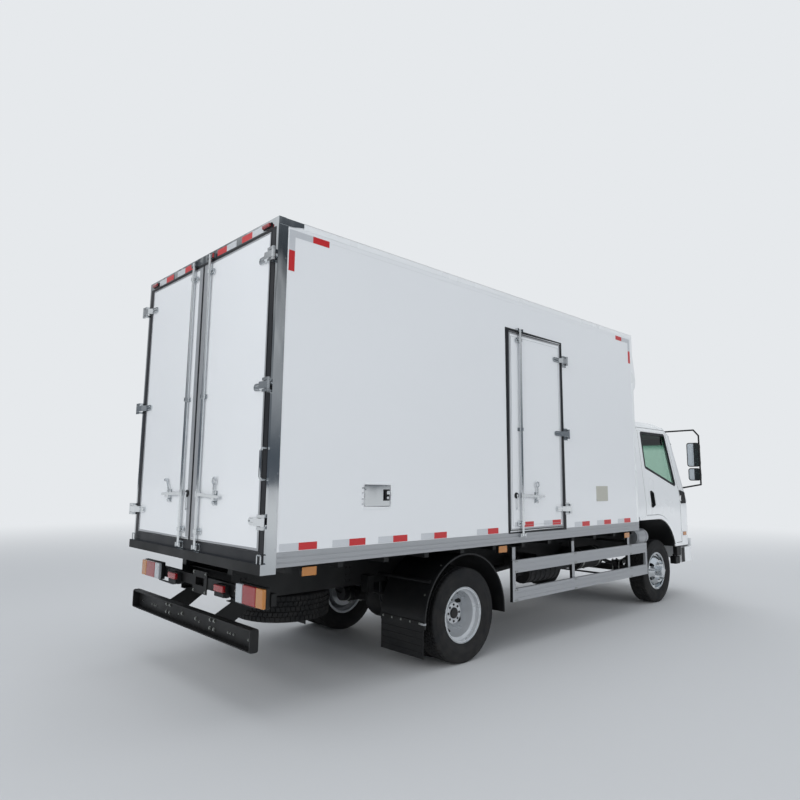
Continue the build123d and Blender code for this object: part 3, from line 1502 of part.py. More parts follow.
# Cab interior: seats, dash and steering wheel
dash_clear_form = cab_form(cab_wall + seat_clear)
wheel_centre = (-560, along(6330), 1520)
wheel_axis = (0, -0.5, 0.87)
steering_wheel_radius = 205.0
with BuildPart() as cab_interior:
    block((-980, 980), (along(6520), along(7100)), (1180, 1325))
    add(dash_clear_form, mode=Mode.INTERSECT)
    bar((-560, along(6600), 1260), (-560, along(6330), 1520), 26)
    with BuildSketch(Plane(origin=wheel_centre, z_dir=wheel_axis)) as wheel_plan:
        Circle(steering_wheel_radius)
        Circle(steering_wheel_radius - 29, mode=Mode.SUBTRACT)
        Rectangle(2 * steering_wheel_radius - 30, 36)
    extrude(wheel_plan.sketch, amount=20)
    # Seats. Columns: middle, half width, inner and outer edge of the base, base height
    floor_top = cab_floor_z + cab_wall + seat_clear
    hump_top = 1130 + cab_wall + seat_clear
    for middle, half, base in (
        (-560.0, 250.0, ((-800.0, -385.0, floor_top),)),
        (380.0, 420.0, ((-20.0, 370.0, hump_top), (385.0, 790.0, floor_top))),
    ):
        block((middle - half, middle + half), (along(5680), along(6120)), (1330, 1430))
        block((middle - half, middle + half), (along(5560), along(5680)), (1380, 1960))
        for low, high, bottom in base:
            block((low, high), (along(5700), along(5900)), (bottom, 1331))
finish(cab_interior, "cab_interior")
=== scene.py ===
"""Looks of the refrigerated truck: finishes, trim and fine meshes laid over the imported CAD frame."""
import json
import logging
import math
from dataclasses import dataclass
from enum import Enum
from typing import Callable, Iterable, Optional, Sequence

import bmesh
import bpy
from mathutils import Matrix, Vector

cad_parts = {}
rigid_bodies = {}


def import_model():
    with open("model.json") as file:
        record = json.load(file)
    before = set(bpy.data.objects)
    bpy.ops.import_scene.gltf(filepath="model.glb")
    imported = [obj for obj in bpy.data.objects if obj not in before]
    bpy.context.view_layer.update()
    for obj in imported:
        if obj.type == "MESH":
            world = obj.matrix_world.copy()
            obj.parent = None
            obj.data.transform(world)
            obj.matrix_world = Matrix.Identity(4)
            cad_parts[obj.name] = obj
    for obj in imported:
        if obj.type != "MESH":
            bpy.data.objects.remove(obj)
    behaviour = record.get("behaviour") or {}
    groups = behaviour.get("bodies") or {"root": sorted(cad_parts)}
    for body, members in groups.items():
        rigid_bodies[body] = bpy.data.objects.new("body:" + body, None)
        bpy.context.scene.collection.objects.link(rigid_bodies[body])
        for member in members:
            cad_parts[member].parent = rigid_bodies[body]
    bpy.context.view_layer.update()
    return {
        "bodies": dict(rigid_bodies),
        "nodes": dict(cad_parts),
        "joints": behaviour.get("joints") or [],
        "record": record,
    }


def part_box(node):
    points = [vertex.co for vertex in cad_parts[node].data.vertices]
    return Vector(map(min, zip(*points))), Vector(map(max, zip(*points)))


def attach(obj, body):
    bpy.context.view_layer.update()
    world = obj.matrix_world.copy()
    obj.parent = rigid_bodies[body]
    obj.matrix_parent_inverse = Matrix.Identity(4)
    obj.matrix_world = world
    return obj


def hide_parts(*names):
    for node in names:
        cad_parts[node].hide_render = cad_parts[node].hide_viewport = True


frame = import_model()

log = logging.getLogger("truck")

MM = 0.001
SIDES = {"left": -1, "right": 1}
X, Y, Z, BACK = (1, 0, 0), (0, 1, 0), (0, 0, 1), (0, -1, 0)
Point = Sequence[float]
Outline = Sequence[Point]
Socket = bpy.types.NodeSocket


class Look(Enum):
    """The finishes of the truck, each named for its real material."""

    PANEL = "gelcoat_panel"
    PAINT = "white_cab_paint"
    CHASSIS = "satin_chassis_paint"
    STAINLESS = "polished_stainless"
    CHROME = "bright_chrome"
    ALUMINIUM = "satin_aluminium"
    TYRE = "tyre_rubber"
    WHEEL = "silver_wheel_paint"
    PLASTIC = "black_plastic"
    CAST = "painted_cast_iron"
    RUBBER = "seal_rubber"
    RED_LENS = "red_lens"
    AMBER_LENS = "amber_lens"
    CLEAR_LENS = "clear_lens"
    WHITE_LENS = "white_lens"
    LAMP_COVER = "lamp_cover"
    SMOKED = "smoked_acrylic"
    REFLECTOR = "lamp_reflector"
    GLASS = "tinted_safety_glass"
    TAPE_RED = "red_reflective_tape"
    TAPE_WHITE = "white_reflective_tape"
    FABRIC = "seat_fabric"
    TRIM = "soft_dash_plastic"
    LINING = "pale_cab_lining"
    MIRROR = "mirror_glass"
    ZINC = "zinc_plated_steel"
    PATCH = "beige_plastic_plate"


Chooser = Callable[[Vector, Vector], Optional[Look]]


def linear(code: str) -> tuple[float, float, float, float]:
    """Turn a hex sRGB code into a linear colour.

    Args:
        code: Colour such as "#EDEFF0".

    Returns:
        Linear red, green, blue and an alpha of one.
    """
    channels = [int(code[at:at + 2], 16) / 255 for at in (1, 3, 5)]
    low = [c / 12.92 if c <= 0.04045 else ((c + 0.055) / 1.055) ** 2.4 for c in channels]
    return (low[0], low[1], low[2], 1.0)


def add_node(tree: bpy.types.NodeTree, kind: str, inputs: Optional[dict] = None, output: object = 0,
             **settings: object) -> Optional[Socket]:
    """Add one node with its settings and links.

    Args:
        tree: Tree that it goes into.
        kind: Node type name.
        inputs: Input socket name or index to a socket to link from, or to a plain value.
        output: Name or index of the output that is wanted.
        **settings: Properties of the node itself.

    Returns:
        That output, or None from a node without outputs.
    """
    node = tree.nodes.new(kind)
    for key, value in settings.items():
        setattr(node, key, value)
    for key, value in (inputs or {}).items():
        if isinstance(value, Socket):
            tree.links.new(value, node.inputs[key])
        else:
            node.inputs[key].default_value = value
    return node.outputs[output] if node.outputs else None


def begun(name: str) -> tuple[bpy.types.Material, bpy.types.NodeTree, Socket]:
    """Start a material.

    Args:
        name: Name of the material.

    Returns:
        The material, its empty tree and the Object coordinates.
    """
    material = bpy.data.materials.new(name)
    material.use_nodes = True
    material.node_tree.nodes.clear()
    return material, material.node_tree, add_node(material.node_tree, "ShaderNodeTexCoord", output="Object")


@dataclass(frozen=True)
class Surface:
    """An opaque finish with wandering gloss, grain and road dust low on the truck.

    Attributes:
        colour: Base colour as hex sRGB.
        rough: Roughness.
        metal: Share of metal.
        coat: Weight of a clear coat.
        wander: How far the roughness wanders each way.
        wander_size: Width of those patches, mm.
        grain: Depth of the surface's grain, mm.
        grain_size: Width of the grain, mm.
        octaves: Levels of finer grain in the grain.
        stretch: Scale of the coordinates on each axis, for drawn or brushed grain.
        dust: Share of road dust near the ground.
        dust_colour: Colour of the dust.
        dust_from: Heights where the dust starts and where it is full, m.
        speck: Width of the dust's patches, mm.
    """

    colour: str
    rough: float
    metal: float = 0.0
    coat: float = 0.0
    wander: float = 0.05
    wander_size: float = 350.0
    grain: float = 0.0
    grain_size: float = 2.0
    octaves: float = 4.0
    stretch: tuple[float, float, float] = (1.0, 1.0, 1.0)
    dust: float = 0.0
    dust_colour: str = "#77716A"
    dust_from: tuple[float, float] = (1.15, 0.1)
    speck: float = 90.0

    def tint(self, tree: bpy.types.NodeTree, place: Socket) -> object:
        """Base colour before the dust; finishes with a pattern draw it here."""
        return linear(self.colour)

    def build(self, name: str) -> bpy.types.Material:
        """Make the material.

        Args:
            name: Name of the material.

        Returns:
            The material.
        """
        material, tree, place = begun(name)
        drawn = add_node(tree, "ShaderNodeMapping", {"Vector": place, "Scale": self.stretch})
        patches = add_node(
            tree, "ShaderNodeTexNoise", {"Vector": drawn, "Scale": 1.0 / (self.wander_size * MM), "Detail": 3.0})
        rough = add_node(
            tree, "ShaderNodeMapRange", {"Value": patches, "From Min": 0.3, "From Max": 0.7,
                                         "To Min": self.rough - self.wander, "To Max": self.rough + self.wander})
        colour = self.tint(tree, place)
        if self.dust:
            height = add_node(tree, "ShaderNodeSeparateXYZ", {"Vector": place}, "Z")
            low_down = add_node(
                tree, "ShaderNodeMapRange",
                {"Value": height, "From Min": self.dust_from[0], "From Max": self.dust_from[1]})
            noise = add_node(
                tree, "ShaderNodeTexNoise", {"Vector": place, "Scale": 1.0 / (self.speck * MM), "Detail": 8.0})
            specks = add_node(tree, "ShaderNodeMapRange", {"Value": noise, "From Min": 0.35, "From Max": 0.7})
            both = add_node(tree, "ShaderNodeMath", {0: low_down, 1: specks}, operation="MULTIPLY")
            share = add_node(tree, "ShaderNodeMath", {0: both, 1: self.dust}, operation="MULTIPLY")
            colour = add_node(
                tree, "ShaderNodeMix", {0: share, 6: colour, 7: linear(self.dust_colour)}, 2, data_type="RGBA")
            rough = add_node(tree, "ShaderNodeMath", {0: rough, 1: share}, use_clamp=True)
        shader = add_node(
            tree, "ShaderNodeBsdfPrincipled", {"Base Color": colour, "Roughness": rough, "Metallic": self.metal,
                                               "Coat Weight": self.coat, "Coat Roughness": 0.06})
        if self.grain:
            height = add_node(
                tree, "ShaderNodeTexNoise",
                {"Vector": drawn, "Scale": 1.0 / (self.grain_size * MM), "Detail": self.octaves})
            bump = add_node(tree, "ShaderNodeBump", {"Height": height, "Distance": self.grain * MM})
            tree.links.new(bump, shader.node.inputs["Normal"])
        add_node(tree, "ShaderNodeOutputMaterial", {"Surface": shader})
        return material


@dataclass(frozen=True)
class Tape(Surface):
    """Retroreflective tape: cells with slightly paler walls between them.

    Attributes:
        cell: Width of a cell, mm.
        wall_colour: Colour of the walls.
    """

    cell: float = 5.0
    wall_colour: str = "#F2F2F2"

    def tint(self, tree: bpy.types.NodeTree, place: Socket) -> object:
        """Staggered cells, drawn on the plane that the tape lies in.

        Args:
            tree: Tree of the material.
            place: Object coordinates.

        Returns:
            The colour.
        """
        split = add_node(tree, "ShaderNodeSeparateXYZ", {"Vector": place}).node.outputs
        flat = add_node(tree, "ShaderNodeMath", {0: split["X"], 1: split["Y"]})
        flat_place = add_node(tree, "ShaderNodeCombineXYZ", {"X": flat, "Y": split["Z"]})
        own = linear(self.colour)
        bricks = add_node(
            tree, "ShaderNodeTexBrick",
            {"Vector": flat_place, "Color1": own, "Color2": own, "Mortar": linear(self.wall_colour), "Scale": 1.0,
             "Mortar Size": self.cell * 0.05 * MM, "Brick Width": self.cell * MM, "Row Height": self.cell * MM},
            "Color")
        return add_node(tree, "ShaderNodeMix", {0: 0.35, 6: own, 7: bricks}, 2, data_type="RGBA")


@dataclass(frozen=True)
class Lens:
    """A moulded lamp lens with prisms behind a smooth face.

    Attributes:
        colour: Colour as hex sRGB.
        pitch: Distance between prisms, mm.
        clear: Share of light that passes.
    """

    colour: str
    pitch: float = 7.0
    clear: float = 0.3

    def build(self, name: str) -> bpy.types.Material:
        """Make the material.

        Args:
            name: Name of the material.

        Returns:
            The material.
        """
        material, tree, place = begun(name)
        waves = [
            add_node(tree, "ShaderNodeTexWave", {"Vector": place, "Scale": 1.0 / (self.pitch * MM) / 3.2}, "Fac",
                     bands_direction=axis)
            for axis in ("X", "Z")
        ]
        height = add_node(tree, "ShaderNodeMath", {0: waves[0], 1: waves[1]})
        bump = add_node(tree, "ShaderNodeBump", {"Height": height, "Distance": 0.8 * MM, "Strength": 0.6})
        shader = add_node(
            tree, "ShaderNodeBsdfPrincipled",
            {"Base Color": linear(self.colour), "Roughness": 0.16, "Transmission Weight": self.clear,
             "Coat Weight": 1.0, "Coat Roughness": 0.03, "Normal": bump})
        add_node(tree, "ShaderNodeOutputMaterial", {"Surface": shader})
        return material


@dataclass(frozen=True)
class WindowGlass:
    """Thin safety glass: tinted, with a darker band along its top.

    Attributes:
        colour: Colour that passes.
        band: Colour that passes through the shade band.
        band_from: Height where the band starts, m.
        band_to: Height where it is full, m.
    """

    colour: str
    band: str
    band_from: float = 2.0
    band_to: float = 2.12

    def build(self, name: str) -> bpy.types.Material:
        """Make the material; its back faces don't shine, so that no light is lost inside the pane.

        Args:
            name: Name of the material.

        Returns:
            The material.
        """
        material, tree, place = begun(name)
        height = add_node(tree, "ShaderNodeSeparateXYZ", {"Vector": place}, "Z")
        share = add_node(
            tree, "ShaderNodeMapRange", {"Value": height, "From Min": self.band_from, "From Max": self.band_to})
        passed = add_node(
            tree, "ShaderNodeMix", {0: share, 6: linear(self.colour), 7: linear(self.band)}, 2, data_type="RGBA")
        through = add_node(tree, "ShaderNodeBsdfTransparent", {"Color": passed})
        shine = add_node(tree, "ShaderNodeBsdfGlossy", {"Roughness": 0.02})
        edge = add_node(tree, "ShaderNodeFresnel", {"IOR": 1.5})
        behind = add_node(tree, "ShaderNodeNewGeometry", output="Backfacing")
        front = add_node(tree, "ShaderNodeMath", {0: 1.0, 1: behind}, operation="SUBTRACT")
        mirrored = add_node(tree, "ShaderNodeMath", {0: edge, 1: front}, operation="MULTIPLY")
        mix = add_node(tree, "ShaderNodeMixShader", {0: mirrored, 1: through, 2: shine})
        add_node(tree, "ShaderNodeOutputMaterial", {"Surface": mix})
        return material


FINISHES = {
    # Moulded gelcoat on foam panels: an even satin white whose reflections ripple a little.
    Look.PANEL: Surface("#E9EBED", 0.34, wander=0.05, grain=0.06, grain_size=45.0, coat=0.15),
    # Sprayed and baked cab paint under clear coat: a smooth, slightly bluer and glossier white.
    Look.PAINT: Surface("#F0F2F3", 0.28, coat=0.6, wander=0.015, wander_size=900.0, dust=0.08),
    # Satin chassis paint on rolled steel: deep black with dull, broad highlights; its orange peel is drawn coarse.
    Look.CHASSIS: Surface("#08090A", 0.5, wander=0.1, grain=0.03, grain_size=6.0, dust=0.05),
    # Mirror-polished stainless sheet: waves a hand wide break the mirror image into long streaks.
    Look.STAINLESS: Surface(
        "#C9CCCE", 0.07, metal=1.0, wander=0.03, grain=2.2, grain_size=90.0, octaves=0.6, stretch=(1.0, 1.0, 0.3)),
    # Chromed forged steel: a sharp mirror with the forging's faint unevenness.
    Look.CHROME: Surface("#D9DCDE", 0.1, metal=1.0, wander=0.03, grain=0.05, grain_size=8.0),
    # Extruded, anodised aluminium: satin grey with fine lines along the rail, drawn coarser than the die's.
    Look.ALUMINIUM: Surface(
        "#B2B4B7", 0.4, metal=0.6, wander=0.06, grain=0.02, grain_size=2.0, stretch=(1.0, 0.02, 1.0)),
    # Vulcanised rubber: near black, dull and dusty; its pebble is drawn coarser so that it shows.
    Look.TYRE: Surface("#121315", 0.75, wander=0.08, grain=0.12, grain_size=5.0, dust=0.12),
    # Silver wheel paint: pale with a soft metallic sheen, dusty low down.
    Look.WHEEL: Surface("#D2D5D8", 0.28, metal=0.35, wander=0.05, grain=0.02, grain_size=3.0, dust=0.12),
    # Moulded polypropylene: black, with a leathery grain, drawn coarse, that breaks the highlights.
    Look.PLASTIC: Surface("#0A0B0D", 0.48, wander=0.06, grain=0.06, grain_size=1.6, dust=0.04),
    # Painted cast iron: dark, rough from the sand mould, and dusty.
    Look.CAST: Surface("#1B1C1F", 0.6, wander=0.1, grain=0.3, grain_size=5.0, dust=0.2),
    # Extruded sealing rubber: black with a soft shine along the lip.
    Look.RUBBER: Surface("#0D0F15", 0.42, wander=0.08, grain=0.04, grain_size=3.0),
    # Moulded acrylic lenses: the prisms behind a smooth face make the colour glitter.
    Look.RED_LENS: Lens("#A80F16"),
    Look.AMBER_LENS: Lens("#D58A3A"),
    Look.CLEAR_LENS: Lens("#DDE2E6", clear=0.75),
    Look.WHITE_LENS: Lens("#C9CFD4", clear=0.2),
    # Hard-coated polycarbonate cover: clear, with a thin reflection.
    Look.LAMP_COVER: WindowGlass("#F2F4F5", "#F2F4F5"),
    # Smoked acrylic visor: a dark, clear film.
    Look.SMOKED: WindowGlass("#2A2C2E", "#2A2C2E"),
    # Aluminised plastic bowl: a bright, slightly soft mirror.
    Look.REFLECTOR: Surface("#D5D8DA", 0.12, metal=1.0),
    # Green-tinted laminated glass with a shade band: the cab shows through, greener at the top.
    Look.GLASS: WindowGlass("#E2EEE8", "#8DB8A9"),
    # Retroreflective tape, cells under a clear film: even colour with a paler net, drawn coarser than the real cells.
    Look.TAPE_RED: Tape("#C01820", 0.34, coat=0.4, wall_colour="#E0554C"),
    Look.TAPE_WHITE: Tape("#CDD0D4", 0.34, metal=0.25, coat=0.4),
    # Woven seat fabric: matt grey with a soft weave, drawn coarser than the thread.
    Look.FABRIC: Surface("#5A5C60", 0.9, wander=0.05, grain=0.6, grain_size=3.0),
    # Soft-touch dash plastic: dull dark grey.
    Look.TRIM: Surface("#4A4C4F", 0.7, wander=0.05, grain=0.1, grain_size=2.0),
    # Pressed fibre lining: pale, matt and even.
    Look.LINING: Surface("#B4B4AF", 0.8, wander=0.05, grain=0.1, grain_size=2.0),
    # Silvered mirror glass: a clean mirror, a little darker than what it shows.
    Look.MIRROR: Surface("#C4CBD0", 0.03, metal=1.0, wander=0.01),
    # Zinc-plated screws and clamps: a warm, cloudy grey metal.
    Look.ZINC: Surface("#A9ABA6", 0.34, metal=1.0, wander=0.08, grain=0.04, grain_size=3.0),
    # Aged beige plastic plate, moulded smooth: a flat warm patch on the white wall.
    Look.PATCH: Surface("#B9B8AE", 0.45, wander=0.05),
}
materials: dict[Look, bpy.types.Material] = {}


def material_of(look: Look) -> bpy.types.Material:
    """The material of a look, made at its first use.

    Args:
        look: The look.

    Returns:
        The material.
    """
    if look not in materials:
        materials[look] = FINISHES[look].build(look.value)
    return materials[look]


def span(node: str) -> tuple[Vector, Vector]:
    """Lowest and highest corner of a CAD node, in millimetres."""
    low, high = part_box(node)
    return low / MM, high / MM


def axes(origin: Point, first: Point, second: Point, third: Optional[Point] = None) -> Matrix:
    """Matrix of an origin and three axes, which may be mirrored.

    Args:
        origin: Origin.
        first: First axis.
        second: Second axis.
        third: Third axis; without it, the one at right angles to both that makes no mirror image.

    Returns:
        The matrix.
    """
    rows = [Vector(axis).normalized() for axis in (first, second)]
    rows.append(rows[0].cross(rows[1]) if third is None else Vector(third).normalized())
    matrix = Matrix(rows).transposed().to_4x4()
    matrix.translation = Vector(origin)
    return matrix


@dataclass(frozen=True)
class Layout:
    """Places of the truck in millimetres, read from the CAD frame.

    Attributes:
        rear: Y of the box's rear face.
        front: Y of the box's front face.
        half: Half width of the box.
        top: Height of the box's top.
        floor: Height of the floor's top, where the walls stand.
        front_axle: Y of the front axle.
        rear_axle: Y of the rear axle.
        axle_z: Height of both axles.
        nose: Y of the bumper's face.
    """

    rear: float
    front: float
    half: float
    top: float
    floor: float
    front_axle: float
    rear_axle: float
    axle_z: float
    nose: float

    @classmethod
    def from_frame(cls) -> "Layout":
        """Read the places from the boxes of the CAD nodes.

        Returns:
            The layout.
        """
        roof = span("box_roof")[1]
        front_low, front_high = span("front_tyre_left")
        rear_low, rear_high = span("rear_tyre_left")
        return cls(
            rear=span("rear_door_left")[0].y, front=roof.y, half=roof.x, top=roof.z, floor=span("side_wall_left")[0].z,
            front_axle=(front_low.y + front_high.y) / 2, rear_axle=(rear_low.y + rear_high.y) / 2,
            axle_z=(front_low.z + front_high.z) / 2, nose=span("front_bumper")[1].y,
        )

    def along(self, distance: float) -> float:
        """Y of a point given by its distance ahead of the box's rear face."""
        return self.rear + distance

    def wall(self, side: int) -> Matrix:
        """Axes of a side wall: ahead from the box's rear, up, and outwards."""
        return axes((side * self.half, self.rear, 0), Y, Z, (side, 0, 0))

    def tail(self, side: int) -> Matrix:
        """Axes of the rear face: away from the middle, up, and backwards."""
        return axes((0, self.rear, 0), (side, 0, 0), Z, BACK)


def subdivided(corners: Outline, parts: int) -> list[Vector]:
    """Closed outline with each edge cut into equal parts."""
    points = [Vector(corner) for corner in corners]
    edges = zip(points, points[1:] + points[:1])
    return [start.lerp(end, part / parts) for start, end in edges for part in range(parts)]


def grown(outline: Outline, width: float) -> list[Vector]:
    """Move a convex outline outwards from its middle on each axis.

    Args:
        outline: Points of the outline.
        width: How far its sides move.

    Returns:
        The wider outline.
    """
    points = [Vector(point) for point in outline]
    low, high = (Vector([choose(point[axis] for point in points) for axis in (0, 1)]) for choose in (min, max))
    middle = (low + high) / 2
    return [
        Vector([middle[axis] + (point[axis] - middle[axis]) * (1 + width / (high[axis] - middle[axis]))
                for axis in (0, 1)])
        for point in points
    ]


def rounded(corners: Outline, radius: float, steps: int = 5, closed: bool = True) -> list[Vector]:
    """Path through corners, each turned into an arc.

    Args:
        corners: Corner points, of two or three axes.
        radius: Radius of the arcs.
        steps: Segments an arc.
        closed: Whether the path closes.

    Returns:
        Points of the path.
    """
    points = [Vector(corner) for corner in corners]
    path: list[Vector] = []
    for index, corner in enumerate(points):
        if not closed and index in (0, len(points) - 1):
            path.append(corner)
            continue
        before = points[index - 1] - corner
        after = points[(index + 1) % len(points)] - corner
        half = before.angle(after) / 2
        reach = min(radius / math.tan(half), before.length * 0.49, after.length * 0.49)
        size = reach * math.tan(half)
        middle = corner + (before.normalized() + after.normalized()).normalized() * (size / math.sin(half))
        start = corner + before.normalized() * reach - middle
        end = corner + after.normalized() * reach - middle
        turn = start.angle(end)
        for step in range(steps + 1):
            share = step / steps
            weight = (math.sin((1 - share) * turn), math.sin(share * turn))
            path.append(middle + (start * weight[0] + end * weight[1]) / math.sin(turn))
    return path


def circle(radius: float, steps: int = 16) -> list[Vector]:
    """Points of a circle round the origin."""
    turns = [2 * math.pi * step / steps for step in range(steps)]
    return [Vector((radius * math.cos(turn), radius * math.sin(turn))) for turn in turns]


class GrownMesh:
    """A Geometry Nodes tree made in this script, evaluated to plain meshes."""

    def __init__(self, name: str, sockets: dict[str, str]) -> None:
        """Make the tree.

        Args:
            name: Name of the tree.
            sockets: Label to kind of each input.
        """
        self.group = bpy.data.node_groups.new(name, "GeometryNodeTree")
        self.group.interface.new_socket("Geometry", in_out="OUTPUT", socket_type="NodeSocketGeometry")
        self.keys = {
            label: self.group.interface.new_socket(label, in_out="INPUT", socket_type=f"NodeSocket{kind}").identifier
            for label, kind in sockets.items()
        }
        self.inputs = add_node(self.group, "NodeGroupInput").node.outputs
        real = add_node(self.group, "GeometryNodeRealizeInstances", {"Geometry": self.draw()})
        done = add_node(self.group, "GeometryNodeSetMaterial", {"Geometry": real, "Material": self.inputs["Material"]})
        add_node(self.group, "NodeGroupOutput", {0: done})

    def draw(self) -> Socket:
        """Fill the tree; each kind of pattern has its own."""
        raise NotImplementedError

    def grow(self, base: bpy.types.Mesh, values: dict[str, object]) -> bpy.types.Mesh:
        """Evaluate the tree on a mesh.

        Args:
            base: Mesh that the tree starts from.
            values: Input label to value.

        Returns:
            The mesh that the tree gives.
        """
        holder = bpy.data.objects.new("holder", base)
        bpy.context.scene.collection.objects.link(holder)
        modifier = holder.modifiers.new("pattern", "NODES")
        modifier.node_group = self.group
        for label, value in values.items():
            modifier[self.keys[label]] = value
        mesh = bpy.data.meshes.new_from_object(holder.evaluated_get(bpy.context.evaluated_depsgraph_get()))
        holder.modifiers.remove(modifier)
        bpy.data.objects.remove(holder)
        return mesh


class BoltPattern(GrownMesh):
    """Hexagon bolt heads with washers on points, each along its point's own direction."""

    def __init__(self) -> None:
        """Make the tree."""
        super().__init__(
            "bolt_pattern", {"Points": "Geometry", "Radius": "Float", "Height": "Float", "Material": "Material"})

    def draw(self) -> Socket:
        """Join a head and a washer and put them on the points.

        Returns:
            The instances.
        """
        tree, radius, height = self.group, self.inputs["Radius"], self.inputs["Height"]
        wide, thin, rise = (
            add_node(tree, "ShaderNodeMath", {0: size, 1: share}, operation="MULTIPLY")
            for size, share in ((radius, 1.35), (height, 0.5), (height, 0.6)))
        head = add_node(tree, "GeometryNodeMeshCylinder", {"Vertices": 6, "Radius": radius, "Depth": height})
        washer = add_node(tree, "GeometryNodeMeshCylinder", {"Vertices": 20, "Radius": wide, "Depth": thin})
        lift = add_node(tree, "ShaderNodeCombineXYZ", {"Z": rise})
        raised = add_node(tree, "GeometryNodeTransform", {"Geometry": head, "Translation": lift})
        both = add_node(tree, "GeometryNodeJoinGeometry", {"Geometry": raised})
        tree.links.new(washer, both.node.inputs[0])
        facing = add_node(tree, "GeometryNodeInputNamedAttribute", {"Name": "facing"}, data_type="FLOAT_VECTOR")
        turn = add_node(tree, "FunctionNodeAlignRotationToVector", {"Vector": facing}, axis="Z")
        return add_node(
            tree, "GeometryNodeInstanceOnPoints",
            {"Points": self.inputs["Points"], "Instance": both, "Rotation": turn})

    def on(self, points: Iterable[Point], facing: Point, radius: float, height: float, look: Look) -> bpy.types.Mesh:
        """Bolt heads on points.

        Args:
            points: Where they stand.
            facing: Direction of their heads.
            radius: Radius of a head.
            height: Height of a head.
            look: Their look.

        Returns:
            The mesh, in the same units.
        """
        mesh = bpy.data.meshes.new("points")
        mesh.from_pydata([tuple(point) for point in points], [], [])
        for item in mesh.attributes.new("facing", "FLOAT_VECTOR", "POINT").data:
            item.vector = facing
        return self.grow(mesh, {"Radius": radius, "Height": height, "Material": material_of(look)})


class RingPattern(GrownMesh):
    """Copies of one object's mesh round a circle, each turned to face outwards."""

    def __init__(self) -> None:
        """Make the tree."""
        super().__init__("ring_pattern", {
            "Start": "Geometry", "Item": "Object", "Count": "Int", "Radius": "Float", "Phase": "Float",
            "Material": "Material"})

    def draw(self) -> Socket:
        """Put the item on the circle's points and turn the whole ring by the phase.

        Returns:
            The instances.
        """
        tree, inputs = self.group, self.inputs
        ring = add_node(tree, "GeometryNodeMeshCircle", {"Vertices": inputs["Count"], "Radius": inputs["Radius"]})
        item = add_node(tree, "GeometryNodeObjectInfo", {"Object": inputs["Item"]}, "Geometry")
        where = add_node(tree, "GeometryNodeInputPosition")
        turn = add_node(tree, "FunctionNodeAlignRotationToVector", {"Vector": where}, axis="X", pivot_axis="Z")
        placed = add_node(
            tree, "GeometryNodeInstanceOnPoints", {"Points": ring, "Instance": item, "Rotation": turn})
        phase = add_node(tree, "ShaderNodeCombineXYZ", {"Z": inputs["Phase"]})
        return add_node(tree, "GeometryNodeTransform", {"Geometry": placed, "Rotation": phase})

    def of(self, item: bpy.types.Mesh, count: int, radius: float, phase: float, look: Look) -> bpy.types.Mesh:
        """Copies of an item round +Z.

        Args:
            item: Mesh whose +X becomes the outward direction.
            count: Number of copies.
            radius: Radius of the circle.
            phase: Turn of the ring, radians.
            look: Look of the copies.

        Returns:
            The ring as a mesh, in the item's own units.
        """
        holder = bpy.data.objects.new("item", item)
        bpy.context.scene.collection.objects.link(holder)
        mesh = self.grow(bpy.data.meshes.new("start"), {
            "Item": holder, "Count": count, "Radius": radius, "Phase": phase, "Material": material_of(look)})
        bpy.data.objects.remove(holder)
        return mesh


bolt_pattern = BoltPattern()
ring_pattern = RingPattern()


def round_edges(mesh: bmesh.types.BMesh, edges: Iterable[bmesh.types.BMEdge], width: float) -> None:
    """Bevel the edges that turn by more than 30 degrees.

    Args:
        mesh: Mesh that they are in.
        edges: The edges.
        width: Width of the bevel, or 0.
    """
    limit = math.radians(30.0)
    sharp = [edge for edge in edges if len(edge.link_faces) == 2 and edge.calc_face_angle(0.0) > limit]
    if width and sharp:
        bmesh.ops.bevel(
            mesh, geom=sharp, offset=width, offset_type="OFFSET", segments=2, profile=0.5, affect="EDGES",
            clamp_overlap=True, material=-1)


